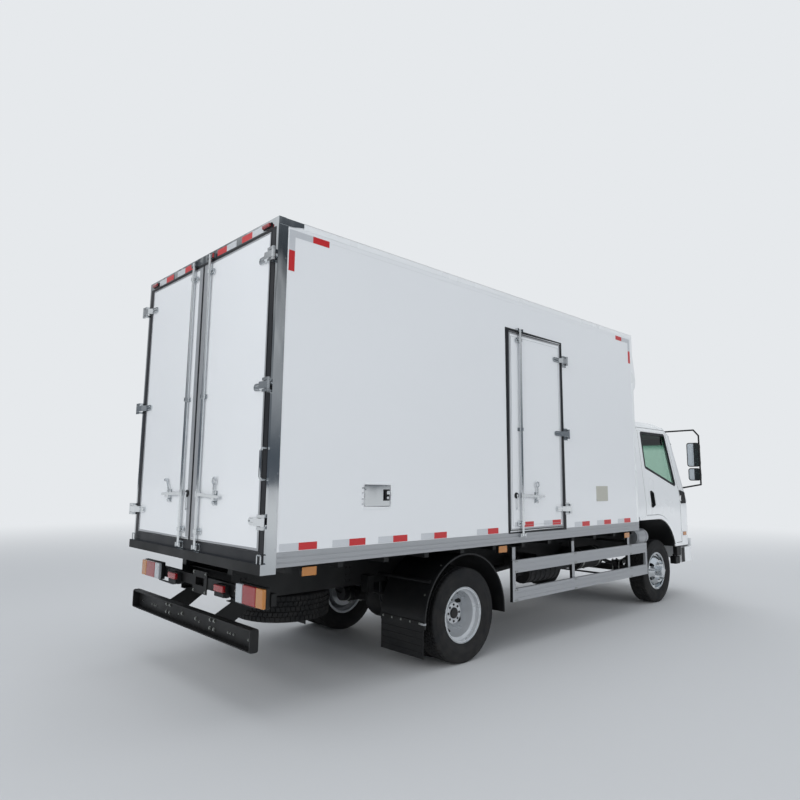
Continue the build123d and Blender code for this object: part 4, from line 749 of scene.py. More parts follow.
class Draft:
    """A mesh drawn in millimetres, with a look for each face, that becomes one piece."""

    def __init__(self) -> None:
        """Start empty."""
        self.mesh = bmesh.new()
        self.looks: list[Look] = []

    def index(self, look: Look) -> int:
        """Index of a look among the piece's materials.

        Args:
            look: The look.

        Returns:
            Its index.
        """
        if look not in self.looks:
            self.looks.append(look)
        return self.looks.index(look)

    def skin(self, rings: Sequence[Sequence[Point]], look: Look, closed: bool = False,
             loop: bool = True) -> list[bmesh.types.BMFace]:
        """Skin a row of rings of points.

        Args:
            rings: Rings with the same number of points.
            look: Look of the skin.
            closed: Whether the last ring joins the first; otherwise both ends get a cap.
            loop: Whether each ring closes on itself.

        Returns:
            The faces made.
        """
        rows = [[self.mesh.verts.new(point) for point in ring] for ring in rings]
        count = len(rows[0])
        faces = [
            self.mesh.faces.new((here[at], here[(at + 1) % count], there[(at + 1) % count], there[at]))
            for here, there in zip(rows, rows[1:] + (rows[:1] if closed else []))
            for at in range(count if loop else count - 1)
        ]
        if not closed and loop:
            faces += [self.mesh.faces.new(list(reversed(rows[0]))), self.mesh.faces.new(rows[-1])]
        for face in faces:
            face.material_index = self.index(look)
        return faces

    def slab(self, place: Matrix, low: Point, high: Point, look: Look) -> None:
        """Sharp-edged block between two corners given in other axes.

        Args:
            place: Those axes.
            low: One corner.
            high: The opposite corner.
            look: Its look.
        """
        flat = ((low[0], low[1]), (high[0], low[1]), (high[0], high[1]), (low[0], high[1]))
        self.skin([[place @ Vector((*spot, rise)) for spot in flat] for rise in (low[2], high[2])], look)

    def box(self, low: Point, high: Point, look: Look, bevel: float) -> None:
        """Block with rounded edges between two corners in the truck's own axes.

        Args:
            low: One corner.
            high: The opposite corner.
            look: Its look.
            bevel: Width of its rounded edges, at most 0.4 of its smallest side.
        """
        verts = bmesh.ops.create_cube(self.mesh, size=1.0)["verts"]
        size = [abs(b - a) for a, b in zip(low, high)]
        bmesh.ops.scale(self.mesh, vec=size, verts=verts)
        bmesh.ops.translate(self.mesh, vec=[(a + b) / 2 for a, b in zip(low, high)], verts=verts)
        faces = {face for vert in verts for face in vert.link_faces}
        for face in faces:
            face.material_index = self.index(look)
        round_edges(self.mesh, {edge for face in faces for edge in face.edges}, min(bevel, min(size) * 0.4))

    def border(self, place: Matrix, low: Point, high: Point, wide: float, proud: float, look: Look) -> None:
        """Flat frame along a rectangle of a plane's first two axes.

        Args:
            place: Axes of the plane.
            low: One corner of its middle line.
            high: The opposite corner.
            wide: Width of the frame.
            proud: How far it stands out along the third axis.
            look: Its look.
        """
        corners = [(low[0], low[1], 0), (high[0], low[1], 0), (high[0], high[1], 0), (low[0], high[1], 0)]
        edge = min(proud * 0.4, wide * 0.2)
        section = [(-wide / 2, -0.4), (wide / 2, -0.4), (wide / 2, proud - edge), (wide / 2 - edge, proud),
                   (edge - wide / 2, proud), (-wide / 2, proud - edge)]
        up = place.to_3x3() @ Vector(Z)
        self.sweep([place @ Vector(corner) for corner in corners], section, look, closed=True, up=up)

    def prism(self, outline: Outline, place: Matrix, depth: float, look: Look) -> None:
        """Plate of an outline in a plane, thickened along its normal."""
        self.skin([[place @ Vector((*spot, rise)) for spot in outline] for rise in (0.0, depth)], look)

    def lathe(self, profile: Outline, place: Matrix, look: Look, steps: int, closed: bool = True) -> None:
        """Turn a profile round the first of three axes.

        Args:
            profile: Distance along the axis and radius of each point.
            place: The axes.
            look: Its look.
            steps: Segments round the axis.
            closed: Whether the profile closes on itself.
        """
        rings = [
            [place @ Vector((reach, radius * turn.x, radius * turn.y)) for reach, radius in profile]
            for turn in circle(1.0, steps)
        ]
        faces = self.skin(rings, look, closed=True, loop=closed)
        bmesh.ops.remove_doubles(self.mesh, verts=list({vert for face in faces for vert in face.verts}), dist=0.001)

    def sweep(self, path: Sequence[Point], section: Outline, look: Look, closed: bool = False,
              up: Optional[Point] = None) -> None:
        """Draw a section along a path.

        Args:
            path: Points of the path.
            section: Points of the section: across the path, and along up.
            look: Look of the skin.
            closed: Whether the path closes.
            up: Fixed direction of the section's second axis; without it the section doesn't twist.
        """
        points = [Vector(point) for point in path]
        count = len(points)
        rings = []
        level: Optional[Vector] = None
        for index, point in enumerate(points):
            before = points[index - 1] if closed or index else point
            after = points[(index + 1) % count] if closed or index < count - 1 else point
            ahead = (after - before).normalized()
            arriving = (point - before).normalized() if (point - before).length else ahead
            if up is not None:
                level = Vector(up).normalized()
            else:
                guide = level or Vector(Z if abs(ahead.z) < 0.9 else X)
                level = (guide - ahead * guide.dot(ahead)).normalized()
            across = ahead.cross(level).normalized()
            stretch = 1.0 / max(arriving.dot(ahead), 0.3)
            rings.append([point + across * x * stretch + level * y for x, y in section])
        self.skin(rings, look, closed=closed)

    def tube(self, corners: Sequence[Point], radius: float, look: Look, bend: float = 0.0, steps: int = 12,
             closed: bool = False) -> None:
        """Round tube through corners, bent to a radius."""
        path = rounded(corners, bend, 6, closed) if bend else corners
        self.sweep(path, circle(radius, steps), look, closed=closed)

    def disc(self, centre: Point, axis: Point, radius: float, depth: float, look: Look, bevel: float,
             steps: int = 24) -> None:
        """Round plate standing on its centre.

        Args:
            centre: Middle of its foot.
            axis: Direction in which it stands out.
            radius: Radius.
            depth: Height.
            look: Its look.
            bevel: Width of the chamfer round its top, at most 0.4 of its height.
            steps: Segments round it.
        """
        direction = Vector(axis).normalized()
        first = direction.cross(Vector(Z if abs(direction.z) < 0.9 else X)).normalized()
        place = axes(centre, first, direction.cross(first))
        edge = min(bevel, depth * 0.4)
        self.skin([
            [place @ Vector((*(spot * size), rise)) for spot in circle(1.0, steps)]
            for size, rise in ((radius, 0.0), (radius, depth - edge), (radius - edge, depth))
        ], look)

    def bolts(self, points: Sequence[Point], facing: Point, radius: float, height: float, look: Look) -> None:
        """Bolt heads on points, all facing one way."""
        self.merge(bolt_pattern.on(points, facing, radius, height, look), look)

    def merge(self, mesh: bpy.types.Mesh, look: Look, place: Matrix = Matrix.Identity(4)) -> None:
        """Add a mesh that is already in millimetres.

        Args:
            mesh: The mesh.
            look: Look of all its faces.
            place: Where it goes in the truck's axes.
        """
        part = bmesh.new()
        part.from_mesh(mesh)
        bmesh.ops.transform(part, matrix=place, verts=part.verts)
        for face in part.faces:
            face.material_index = self.index(look)
        self.join(part)

    def join(self, part: bmesh.types.BMesh) -> None:
        """Add a mesh under work whose faces have this draft's material indices.

        Args:
            part: The mesh, which is freed.
        """
        mesh = bpy.data.meshes.new("part")
        part.to_mesh(mesh)
        part.free()
        self.mesh.from_mesh(mesh)
        bpy.data.meshes.remove(mesh)

    def cad(self, node: str, look: Look, bevel: float, chooser: Optional[Chooser] = None) -> "Draft":
        """Add a CAD node's mesh, its points merged, flat faces joined and edges rounded.

        Args:
            node: Name of the CAD node.
            look: Look of its faces.
            bevel: Width of the rounded edges, mm.
            chooser: Gives the look of a face from its centre and normal, or None for the main one.

        Returns:
            The draft itself.
        """
        part = bmesh.new()
        part.from_mesh(frame["nodes"][node].data)
        bmesh.ops.scale(part, vec=(1 / MM,) * 3, verts=part.verts)
        bmesh.ops.remove_doubles(part, verts=part.verts, dist=0.02)
        bmesh.ops.dissolve_limit(part, angle_limit=math.radians(0.6), verts=part.verts, edges=part.edges)
        self.index(look)
        for face in part.faces:
            chosen = chooser(face.calc_center_median(), face.normal) if chooser else None
            face.material_index = self.index(chosen or look)
        round_edges(part, part.edges, bevel)
        self.join(part)
        return self

    def place(self, name: str, body: str, slot: str, replaces: Sequence[str] = ()) -> None:
        """Turn the draft into a piece that rides on a body.

        Args:
            name: Name of the piece.
            body: CAD body that it moves with.
            slot: Material slot of the record; not used.
            replaces: CAD nodes that it stands for.
        """
        bmesh.ops.recalc_face_normals(self.mesh, faces=self.mesh.faces)
        bmesh.ops.scale(self.mesh, vec=(MM,) * 3, verts=self.mesh.verts)
        limit = math.radians(38.0)
        for face in self.mesh.faces:
            face.smooth = True
        for edge in self.mesh.edges:
            edge.smooth = len(edge.link_faces) != 2 or edge.calc_face_angle(0.0) < limit
        mesh = bpy.data.meshes.new(name)
        self.mesh.to_mesh(mesh)
        self.mesh.free()
        for look in self.looks:
            mesh.materials.append(material_of(look))
        piece = bpy.data.objects.new(name, mesh)
        bpy.context.scene.collection.objects.link(piece)
        piece.modifiers.new("flat_faces", "WEIGHTED_NORMAL").keep_sharp = True
        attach(piece, body)
        if replaces:
            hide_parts(*replaces)
        log.info("%s: %d faces", name, len(mesh.polygons))


def dress(node: str, look: Look, bevel: float, slot: str, name: str = "", body: str = "chassis",
          chooser: Optional[Chooser] = None) -> None:
    """Dress a CAD node with nothing added to it; without a name, the piece is named for the node."""
    Draft().cad(node, look, bevel, chooser).place(name or f"dressed_{node}", body, slot, [node])


@dataclass(frozen=True)
class Tyre:
    """A truck tyre with a ribbed and siped tread, in millimetres.

    Attributes:
        radius: Outer radius.
        half: Half width.
        groove: Depth of the grooves.
        lugs: Blocks round the tread.
        rows: Middle, width, share of the pitch, skew in degrees and offset in pitches of each row of blocks.
    """

    radius: float = 398.5
    half: float = 117.5
    groove: float = 11.0
    lugs: int = 62
    rows: tuple = (
        (-79.0, 36.0, 0.84, 0.0, 0.0), (-40.0, 32.0, 0.9, 14.0, 0.5), (0.0, 36.0, 0.9, -14.0, 0.0),
        (40.0, 32.0, 0.9, 14.0, 0.5), (79.0, 36.0, 0.84, 0.0, 0.0),
    )

    def profile(self) -> list[tuple[float, float]]:
        """Outer profile from one bead to the other, with the rings moulded on the sidewalls.

        Returns:
            Distance across and radius of each point.
        """
        base = self.radius - self.groove
        wall = [
            (84.0, 224.0), (85.0, 237.0), (91.0, 240.0), (98.0, 246.0), (100.0, 252.0), (104.5, 262.0), (110.0, 277.0),
            (114.5, 292.0), (116.6, 304.0), (117.5, 306.0), (117.5, 311.0), (116.4, 313.0), (115.0, 330.0),
            (112.5, 345.0), (113.2, 347.0), (112.6, 352.0), (111.0, 354.0), (106.5, 370.0), (103.5, 380.0),
            (100.0, base), (60.0, base + 1.0), (0.0, base + 1.5),
        ]
        return [(-across, radius) for across, radius in wall] + list(reversed(wall[:-1]))

    def lug(self, width: float, length: float, skew: float) -> bpy.types.Mesh:
        """One block of the tread, its outward direction along +X and the axle along +Z.

        Args:
            width: Width of the block.
            length: Its length round the tyre.
            skew: Slant of its ends, degrees.

        Returns:
            The block's mesh.
        """
        draft = Draft()
        shift = math.tan(math.radians(skew)) * width / 2
        deep = self.groove + 3.0
        outline = [(-width / 2, -length / 2 - shift), (width / 2, -length / 2 + shift),
                   (width / 2, length / 2 + shift), (-width / 2, length / 2 - shift)]
        rings = []
        for rise, inset in ((-deep, 0.0), (-2.0, 0.0), (0.0, 1.6)):
            rings.append([
                (rise, along - math.copysign(inset, along - shift * across * 2 / width),
                 across - math.copysign(inset, across))
                for across, along in outline
            ])
        draft.skin(rings, Look.TYRE)
        bmesh.ops.recalc_face_normals(draft.mesh, faces=draft.mesh.faces)
        mesh = bpy.data.meshes.new("lug")
        draft.mesh.to_mesh(mesh)
        draft.mesh.free()
        return mesh

    def draw(self, draft: Draft, place: Matrix) -> None:
        """Draw the tyre round the first axis of a plane.

        Args:
            draft: Draft that it goes into.
            place: Axes of the part, the first one the axle.
        """
        draft.lathe(self.profile(), place, Look.TYRE, steps=96, closed=False)
        upright = axes((0, 0, 0), Y, Z)
        for middle, width, share, skew, phase in self.rows:
            edge = abs(middle) > self.half * 0.6
            radius = self.radius - (3.0 if edge else 0.0)
            pitch = 2 * math.pi * radius / self.lugs
            turn = phase * 2 * math.pi / self.lugs
            item = self.lug(width, pitch * share, skew)
            ring = ring_pattern.of(item, self.lugs, radius, turn, Look.TYRE)
            draft.merge(ring, Look.TYRE, place @ Matrix.Translation((middle, 0, 0)) @ upright)


@dataclass(frozen=True)
class Suspension:
    """Hardware of the springs and axles, in millimetres.

    Attributes:
        rod: Radius of the U-bolts.
        spread: Distance of their legs from the spring's middle line.
        pack: Height of the leaves.
        rear_x: Middle of the rear springs.
        front_x: Middle of the front springs.
        rear_seat: Height of the rear spring seat.
        front_seat: Height of the front spring seat.
        damper: Radius of a damper's upper tube.
        chamber: Radius of a brake chamber.
    """

    rod: float = 8.0
    spread: float = 45.0
    pack: float = 44.0
    rear_x: float = 478.0
    front_x: float = 390.0
    rear_seat: float = 460.5
    front_seat: float = 425.0
    damper: float = 26.0
    chamber: float = 72.0

    def clamp(self, draft: Draft, x: float, y: float, seat: float, foot: float, reach: float) -> None:
        """Top plate, two U-bolts and their nuts round one spring.

        Args:
            draft: Draft that it goes into.
            x: Place across.
            y: Place along.
            seat: Height of the spring's underside.
            foot: Height of the lower plate's top.
            reach: Distance of each U-bolt from the axle.
        """
        top = seat + self.pack
        draft.box((x - 58, y - reach - 16, top), (x + 58, y + reach + 16, top + 12), Look.CHASSIS, 2.0)
        draft.box((x - 58, y - reach - 16, foot - 14), (x + 58, y + reach + 16, foot), Look.CHASSIS, 2.0)
        for end in (-1, 1):
            for leg in (-1, 1):
                at = (x + leg * self.spread, y + end * reach)
                draft.tube([(*at, foot - 34), (*at, top + 30)], self.rod, Look.ZINC, steps=8)
                for height in (foot - 26, top + 12):
                    draft.bolts([(*at, height)], Z, 13.0, 12.0, Look.ZINC)

    def shock(self, draft: Draft, low: Point, high: Point) -> None:
        """One telescopic damper with its two eyes.

        Args:
            draft: Draft that it goes into.
            low: Lower end.
            high: Upper end.
        """
        low, high = Vector(low), Vector(high)
        middle = low.lerp(high, 0.45)
        draft.tube([low, middle], self.damper * 0.78, Look.CHASSIS, steps=16)
        draft.tube([middle, high], self.damper, Look.CHASSIS, steps=16)
        for eye in (low, high):
            draft.tube([eye - Vector((26, 0, 0)), eye + Vector((26, 0, 0))], 17.0, Look.RUBBER, steps=12)

    def build(self, layout: Layout) -> None:
        """Make clamps and dampers of both axles and the brake chambers of the rear axle.

        Args:
            layout: Places of the truck.
        """
        draft = Draft()
        for side in SIDES.values():
            self.clamp(draft, side * self.rear_x, layout.rear_axle, self.rear_seat, layout.axle_z - 66, 74)
            self.clamp(draft, side * self.front_x, layout.front_axle, self.front_seat, 346, 56)
            rear, front = layout.rear_axle, layout.front_axle
            self.shock(draft, (side * 545, rear - 105, 350), (side * 452, rear - 330, 690))
            self.shock(draft, (side * 470, front + 96, 420), (side * 452, front + 250, 700))
            centre = Vector((side * 330, rear - 205, layout.axle_z + 30))
            draft.tube([centre - Vector((0, 62, 0)), centre + Vector((0, 62, 0))], self.chamber, Look.CAST, steps=28)
            draft.tube([centre - Vector((0, 6, 0)), centre + Vector((0, 6, 0))], self.chamber + 7, Look.ZINC, steps=28)
            draft.tube([centre, centre + Vector((0, 150, 0))], 15.0, Look.CAST, steps=10)
            draft.tube(
                [centre - Vector((0, 62, 0)), centre + Vector((0, -120, 30)), (side * 330, rear - 330, 640),
                 (side * 350, rear - 330, 770)], 9.0, Look.RUBBER, 40.0, 8)
        draft.place("suspension_hardware", "chassis", "cast_steel")


@dataclass(frozen=True)
class RailHardware:
    """What is bolted to the frame rails, in millimetres.

    Attributes:
        outer: Outer face of the rails.
        joints: Distances of the cross members.
        rows: Heights of the bolt rows.
        tank: Lowest and highest corner of the fuel tank, across and up.
        tank_bands: Distances of its straps.
        tank_round: Radius of its edges.
    """

    outer: float = 425.0
    joints: tuple[float, ...] = (250.0, 1250.0, 2900.0, 3700.0, 4550.0)
    rows: tuple[float, ...] = (690.0, 745.0, 800.0)
    tank: tuple = ((-800.0, 440.0), (-455.0, 820.0))
    tank_bands: tuple[float, ...] = (3600.0, 4200.0)
    tank_round: float = 60.0

    def build(self, layout: Layout) -> None:
        """Make bolts, straps, lids, cables and pipes.

        Args:
            layout: Places of the truck.
        """
        draft = Draft()
        for side in SIDES.values():
            points = [
                (side * self.outer, layout.along(joint + step), height)
                for joint in self.joints for step in (-22, 22) for height in self.rows
            ]
            draft.bolts(points, (side, 0, 0), 9.0, 7.0, Look.CHASSIS)
            pipes = ((338, 812, 13.0, Look.PLASTIC), (338, 782, 7.0, Look.PLASTIC), (352, 760, 7.0, Look.CAST))
            for x, z, radius, look in pipes:
                draft.tube(
                    [(side * x, layout.along(300), z), (side * x, layout.along(5350), z)], radius, look, steps=10)
        (left, low), (right, high) = self.tank
        for band in self.tank_bands:
            across = axes((0, layout.along(band), 0), X, Z, Y)
            path = rounded([(left, low), (right, low), (right, high), (left, high)], self.tank_round + 2)
            points = [across @ Vector((x, z, 0)) for x, z in grown(path, 3.0)]
            draft.sweep(points, [(-1.5, -20), (1.5, -20), (1.5, 20), (-1.5, 20)], Look.ZINC, closed=True, up=Y)
        neck = Vector((-730, layout.along(3520), high - 4))
        draft.disc(neck, Z, 46.0, 20.0, Look.CHASSIS, 2.0, 28)
        draft.disc(neck + Vector((0, 0, 20)), Z, 40.0, 26.0, Look.PLASTIC, 5.0, 28)
        draft.disc((left, layout.along(4240), 520), (-1, 0, 0), 16.0, 8.0, Look.ZINC, 2.0, 6)
        lid = (layout.along(4490), layout.along(5060))
        draft.box((-826, lid[0], 795), (-440, lid[1], 812), Look.PLASTIC, 5.0)
        for step in range(5):
            y = layout.along(4540 + 112 * step)
            draft.box((-825, y, 520), (-820, y + 40, 760), Look.CHASSIS, 2.0)
        for y in (4600, 4950):
            draft.box((-832, layout.along(y) - 12, 740), (-824, layout.along(y) + 12, 806), Look.ZINC, 2.0)
        for side, low_b, high_b in ((-1, 2950.0, 3330.0), (1, 4480.0, 4980.0)):
            for at in (low_b + 70, high_b - 70):
                y = layout.along(at)
                draft.tube([(side * 620, y - 16, 640), (side * 620, y + 16, 640)], 128.0, Look.ZINC, steps=32)
            draft.disc((side * 620, layout.along((low_b + high_b) / 2), 518), (0, 0, -1), 12.0, 14.0, Look.ZINC, 2.0,
                       12)
        draft.place("rail_hardware", "chassis", "chassis_black")


class Running:
    """Wheels, tyres, axles and the parts hung under the frame."""

    def __init__(self, layout: Layout) -> None:
        """Keep the layout."""
        self.layout = layout
        self.tyre = Tyre()

    def axle_plane(self, x: float, y: float, side: int) -> Matrix:
        """Plane through an axle, its first axis outwards."""
        return axes((x, y, self.layout.axle_z), (side, 0, 0), (0, side, 0))

    def tyres(self) -> None:
        """All seven tyres."""
        for name, side in SIDES.items():
            low, high = span(f"front_tyre_{name}")
            draft = Draft()
            self.tyre.draw(draft, self.axle_plane((low.x + high.x) / 2, self.layout.front_axle, side))
            draft.place(f"tyre_front_{name}", f"front_wheel_{name}", "tyre", [f"front_tyre_{name}"])
            low, high = span(f"rear_tyre_{name}")
            draft = Draft()
            for x in (low.x + self.tyre.half, high.x - self.tyre.half):
                self.tyre.draw(draft, self.axle_plane(x, self.layout.rear_axle, side))
            draft.place(f"tyres_rear_{name}", f"rear_wheels_{name}", "tyre", [f"rear_tyre_{name}"])
        low, high = span("spare_tyre")
        middle = (low + high) / 2
        draft = Draft()
        self.tyre.draw(draft, axes(middle, (0, 0, -1), Y))
        draft.place("tyre_spare", "chassis", "tyre", ["spare_tyre"])

    def studs(self, draft: Draft, x: float, y: float, side: int, nut: float) -> None:
        """Ends of the wheel studs, standing out of the nuts.

        Args:
            draft: Draft that it goes into.
            x: Place across.
            y: Place along.
            side: -1 on the left, 1 on the right.
            nut: Height of a stud's end.
        """
        for spot in circle(111.0, 6):
            base = Vector((side * x, y + spot.x, self.layout.axle_z + spot.y))
            draft.disc(base, (side, 0, 0), 9.5, nut, Look.ZINC, 2.0, 14)

    def lip(self, draft: Draft, x: float, y: float, side: int, look: Look) -> None:
        """Bright rolled edge of a rim."""
        edge = [(92.5 + a, 231.5 + b) for a, b in circle(6.5, 10)]
        draft.lathe(edge, self.axle_plane(side * x, y, side), look, steps=72)

    def hand_holes(self, draft: Draft, side: int) -> None:
        """Round hand holes in the cone of the outer rear disc, with rolled edges; each hole is a dark disc, painted
        shade for the dark seen through it.

        Args:
            draft: Draft that it goes into.
            side: -1 on the left, 1 on the right.
        """
        lay = self.layout
        for step in range(6):
            turn = math.radians(30 + 60 * step)
            away = Vector((0, math.cos(turn), math.sin(turn)))
            out = (Vector((side * 0.62, 0, 0)) - away * 0.78).normalized()
            centre = Vector((side * 864, lay.rear_axle, lay.axle_z)) + away * 157
            # Painted shade: a dark disc fills the hole in place of the shadowed space behind it.
            draft.disc(centre - out * 3, out, 29.0, 4.2, Look.CAST, 0.3, 28)
            across = out.cross(Vector((side, 0, 0))).normalized()
            ring = [centre + out + (across * a + out.cross(across) * b) for a, b in circle(29.5, 28)]
            draft.tube(ring, 2.2, Look.WHEEL, closed=True, steps=8)

    def wheels(self) -> None:
        """Discs and rims with studs, hub caps and valves."""
        lay = self.layout
        for name, side in SIDES.items():
            draft = Draft().cad(f"front_wheel_{name}", Look.CHROME, 2.5)
            self.studs(draft, 994.0, lay.front_axle, side, 9.0)
            draft.disc((side * 1013, lay.front_axle, lay.axle_z), (side, 0, 0), 54.0, 12.0, Look.CHROME, 8.0, 32)
            self.valve(draft, (side * 905, lay.front_axle, lay.axle_z), side)
            self.lip(draft, 840.0, lay.front_axle, side, Look.CHROME)
            draft.place(f"wheel_front_{name}", f"front_wheel_{name}", "wheel_chrome", [f"front_wheel_{name}"])
            draft = Draft().cad(f"rear_wheels_{name}", Look.WHEEL, 2.5)
            self.lip(draft, 955.0, lay.rear_axle, side, Look.CHROME)
            self.hand_holes(draft, side)
            self.studs(draft, 861.0, lay.rear_axle, side, 10.0)
            flange = [
                (side * 937, lay.rear_axle + spot.x, lay.axle_z + spot.y) for spot in circle(70.0, 8)
            ]
            draft.bolts(flange, (side, 0, 0), 8.0, 6.0, Look.CAST)
            draft.disc((side * 936, lay.rear_axle, lay.axle_z), (side, 0, 0), 46.0, 14.0, Look.CAST, 5.0, 32)
            self.valve(draft, (side * 858, lay.rear_axle, lay.axle_z), side)
            draft.place(f"wheels_rear_{name}", f"rear_wheels_{name}", "wheel_silver", [f"rear_wheels_{name}"])
        dress("spare_wheel", Look.WHEEL, 2.0, "wheel_silver", "wheel_spare")

    def valve(self, draft: Draft, middle: Point, side: int) -> None:
        """Tyre valve between two hand holes.

        Args:
            draft: Draft that it goes into.
            middle: Middle of the wheel.
            side: -1 on the left, 1 on the right.
        """
        turn = math.radians(60)
        foot = Vector(middle) + Vector((0, 178 * math.cos(turn), 178 * math.sin(turn)))
        tip = foot + Vector((side * 44, -4 * math.cos(turn), -4 * math.sin(turn)))
        draft.tube([foot, tip], 4.5, Look.ZINC, steps=8)
        draft.disc(foot + Vector((side * 40, 0, 0)), (side, 0, 0), 6.0, 9.0, Look.PLASTIC, 1.5, 10)

    def store_look(self, centre: Vector, normal: Vector) -> Optional[Look]:
        """The canister behind the cab is bare metal."""
        return Look.ALUMINIUM if centre.x > 850 and centre.y > self.layout.along(5280) else None

    def floor_look(self, centre: Vector, normal: Vector) -> Optional[Look]:
        """The load space has a ribbed aluminium floor."""
        return Look.ALUMINIUM if normal.z > 0.9 and centre.z > self.layout.floor - 3 else None

    def gear(self) -> None:
        """Frame, axles, springs and what hangs on the rails."""
        slots = {Look.CHASSIS: "chassis_black", Look.CAST: "cast_steel"}
        for node, look, bevel, chooser in (
            ("ladder_frame", Look.CHASSIS, 2.0, None), ("engine", Look.CAST, 6.0, None),
            ("driveline", Look.CAST, 4.0, None), ("front_axle", Look.CAST, 3.0, None),
            ("rear_axle", Look.CAST, 3.0, None), ("leaf_springs", Look.CHASSIS, 1.5, None),
            ("fuel_tank", Look.CHASSIS, 3.0, None), ("frame_stores", Look.CHASSIS, 3.0, self.store_look),
            ("exhaust", Look.CAST, 1.5, None), ("box_floor", Look.CHASSIS, 1.5, self.floor_look),
        ):
            dress(node, look, bevel, slots[look], chooser=chooser)
        for body, bevel in (("knuckle_left", 2.0), ("track_rod", 1.0), ("knuckle_right", 2.0)):
            dress(body, Look.CAST, bevel, slots[Look.CAST], body=body)

    def fenders(self) -> None:
        """Rear fenders with stiffened flaps, clips and bolts."""
        lay = self.layout
        draft = Draft().cad("rear_fenders", Look.PLASTIC, 1.5)
        for side in SIDES.values():
            flap_y = lay.rear_axle - 514
            draft.box((side * 560, flap_y - 13, 386), (side * 1082, flap_y - 6, 416), Look.CHASSIS, 1.5)
            bolts = [(side * x, flap_y - 13, 401) for x in range(600, 1060, 110)]
            draft.bolts(bolts, BACK, 7.0, 5.0, Look.ZINC)
            for rib in range(4):
                z = 170 + 52 * rib
                draft.box((side * 580, flap_y - 9, z), (side * 1062, flap_y - 5, z + 8), Look.PLASTIC, 1.5)
            draft.box((side * 1050, flap_y - 16, 392), (side * 1098, flap_y + 6, 408), Look.ALUMINIUM, 1.5)
            for turn in (25, 58, 122, 155):
                angle = math.radians(turn)
                spot = (side * 1040, lay.rear_axle + 519 * math.cos(angle), lay.axle_z + 519 * math.sin(angle))
                draft.bolts([spot], (0, math.cos(angle), math.sin(angle)), 7.0, 5.0, Look.ZINC)
        draft.place("fenders", "chassis", "black_plastic", ["rear_fenders"])

    def guard_look(self, centre: Vector, normal: Vector) -> Optional[Look]:
        """Posts behind the guard's rails are black."""
        return Look.CHASSIS if abs(centre.x) < 1065.5 else None

    def guards(self) -> None:
        """Side guards with end caps and bolts."""
        lay = self.layout
        for name, side in SIDES.items():
            node = f"side_guard_{name}"
            draft = Draft().cad(node, Look.ALUMINIUM, 2.5, self.guard_look)
            for b, out in ((2680.0, -3.0), (5425.0, 3.0)):
                draft.box((side * 1064, lay.along(b), 428), (side * 1096, lay.along(b) + out, 808), Look.PLASTIC, 1.0)
            spots = [
                (side * 1094, lay.along(post + step), height)
                for post in (2740.0, 3780.0, 5010.0) for step in (-14, 14) for height in (442.0, 532.0, 702.0, 794.0)
            ]
            draft.bolts(spots, (side, 0, 0), 6.0, 4.0, Look.ZINC)
            draft.place(f"guard_{name}", "chassis", "aluminium_rail", [node])

    def underrun(self) -> None:
        """Underrun bar with rounded end caps, bolts and the wiring of the lamps."""
        lay = self.layout
        draft = Draft().cad("underrun", Look.CHASSIS, 2.5)
        web = lay.rear + 33.5
        for side in SIDES.values():
            cap = rounded([(lay.rear - 20, 426), (lay.rear + 44, 426), (lay.rear + 44, 576), (lay.rear - 20, 576)], 16)
            draft.prism(cap, axes((side * 999, 0, 0), Y, Z), side * 9.0, Look.PLASTIC)
            spots = [(side * x, web, z) for x, z in ((350, 470), (350, 530), (412, 470), (412, 530), (120, 500))]
            draft.bolts(spots, BACK, 10.0, 8.0, Look.ZINC)
            small = [(side * x, web, 486) for x in (180, 620, 655, 700, 900)]
            draft.bolts(small, BACK, 6.0, 5.0, Look.ZINC)
            plate = lay.rear + 104
            for x, z in ((100, 676), (100, 814)):
                draft.bolts([(side * x, plate, z)], BACK, 8.0, 6.0, Look.ZINC)
            for x, z in ((560, 750), (600, 735), (600, 765)):
                draft.bolts([(side * x, lay.rear + 110, z)], BACK, 8.0, 6.0, Look.ZINC)
            cable = ((840, 112, 700), (820, 130, 668), (560, 140, 660), (400, 150, 690), (350, 190, 720))
            draft.tube([(side * x, lay.rear + y, z) for x, y, z in cable], 7.0, Look.RUBBER, 30.0, 8)
        draft.place("underrun_bar", "chassis", "chassis_black", ["underrun"])

    def build(self) -> None:
        """Make the whole running gear."""
        self.tyres()
        self.wheels()
        self.gear()
        self.fenders()
        self.guards()
        self.underrun()
        Suspension().build(self.layout)
        RailHardware().build(self.layout)
        Lamps().build(self.layout)


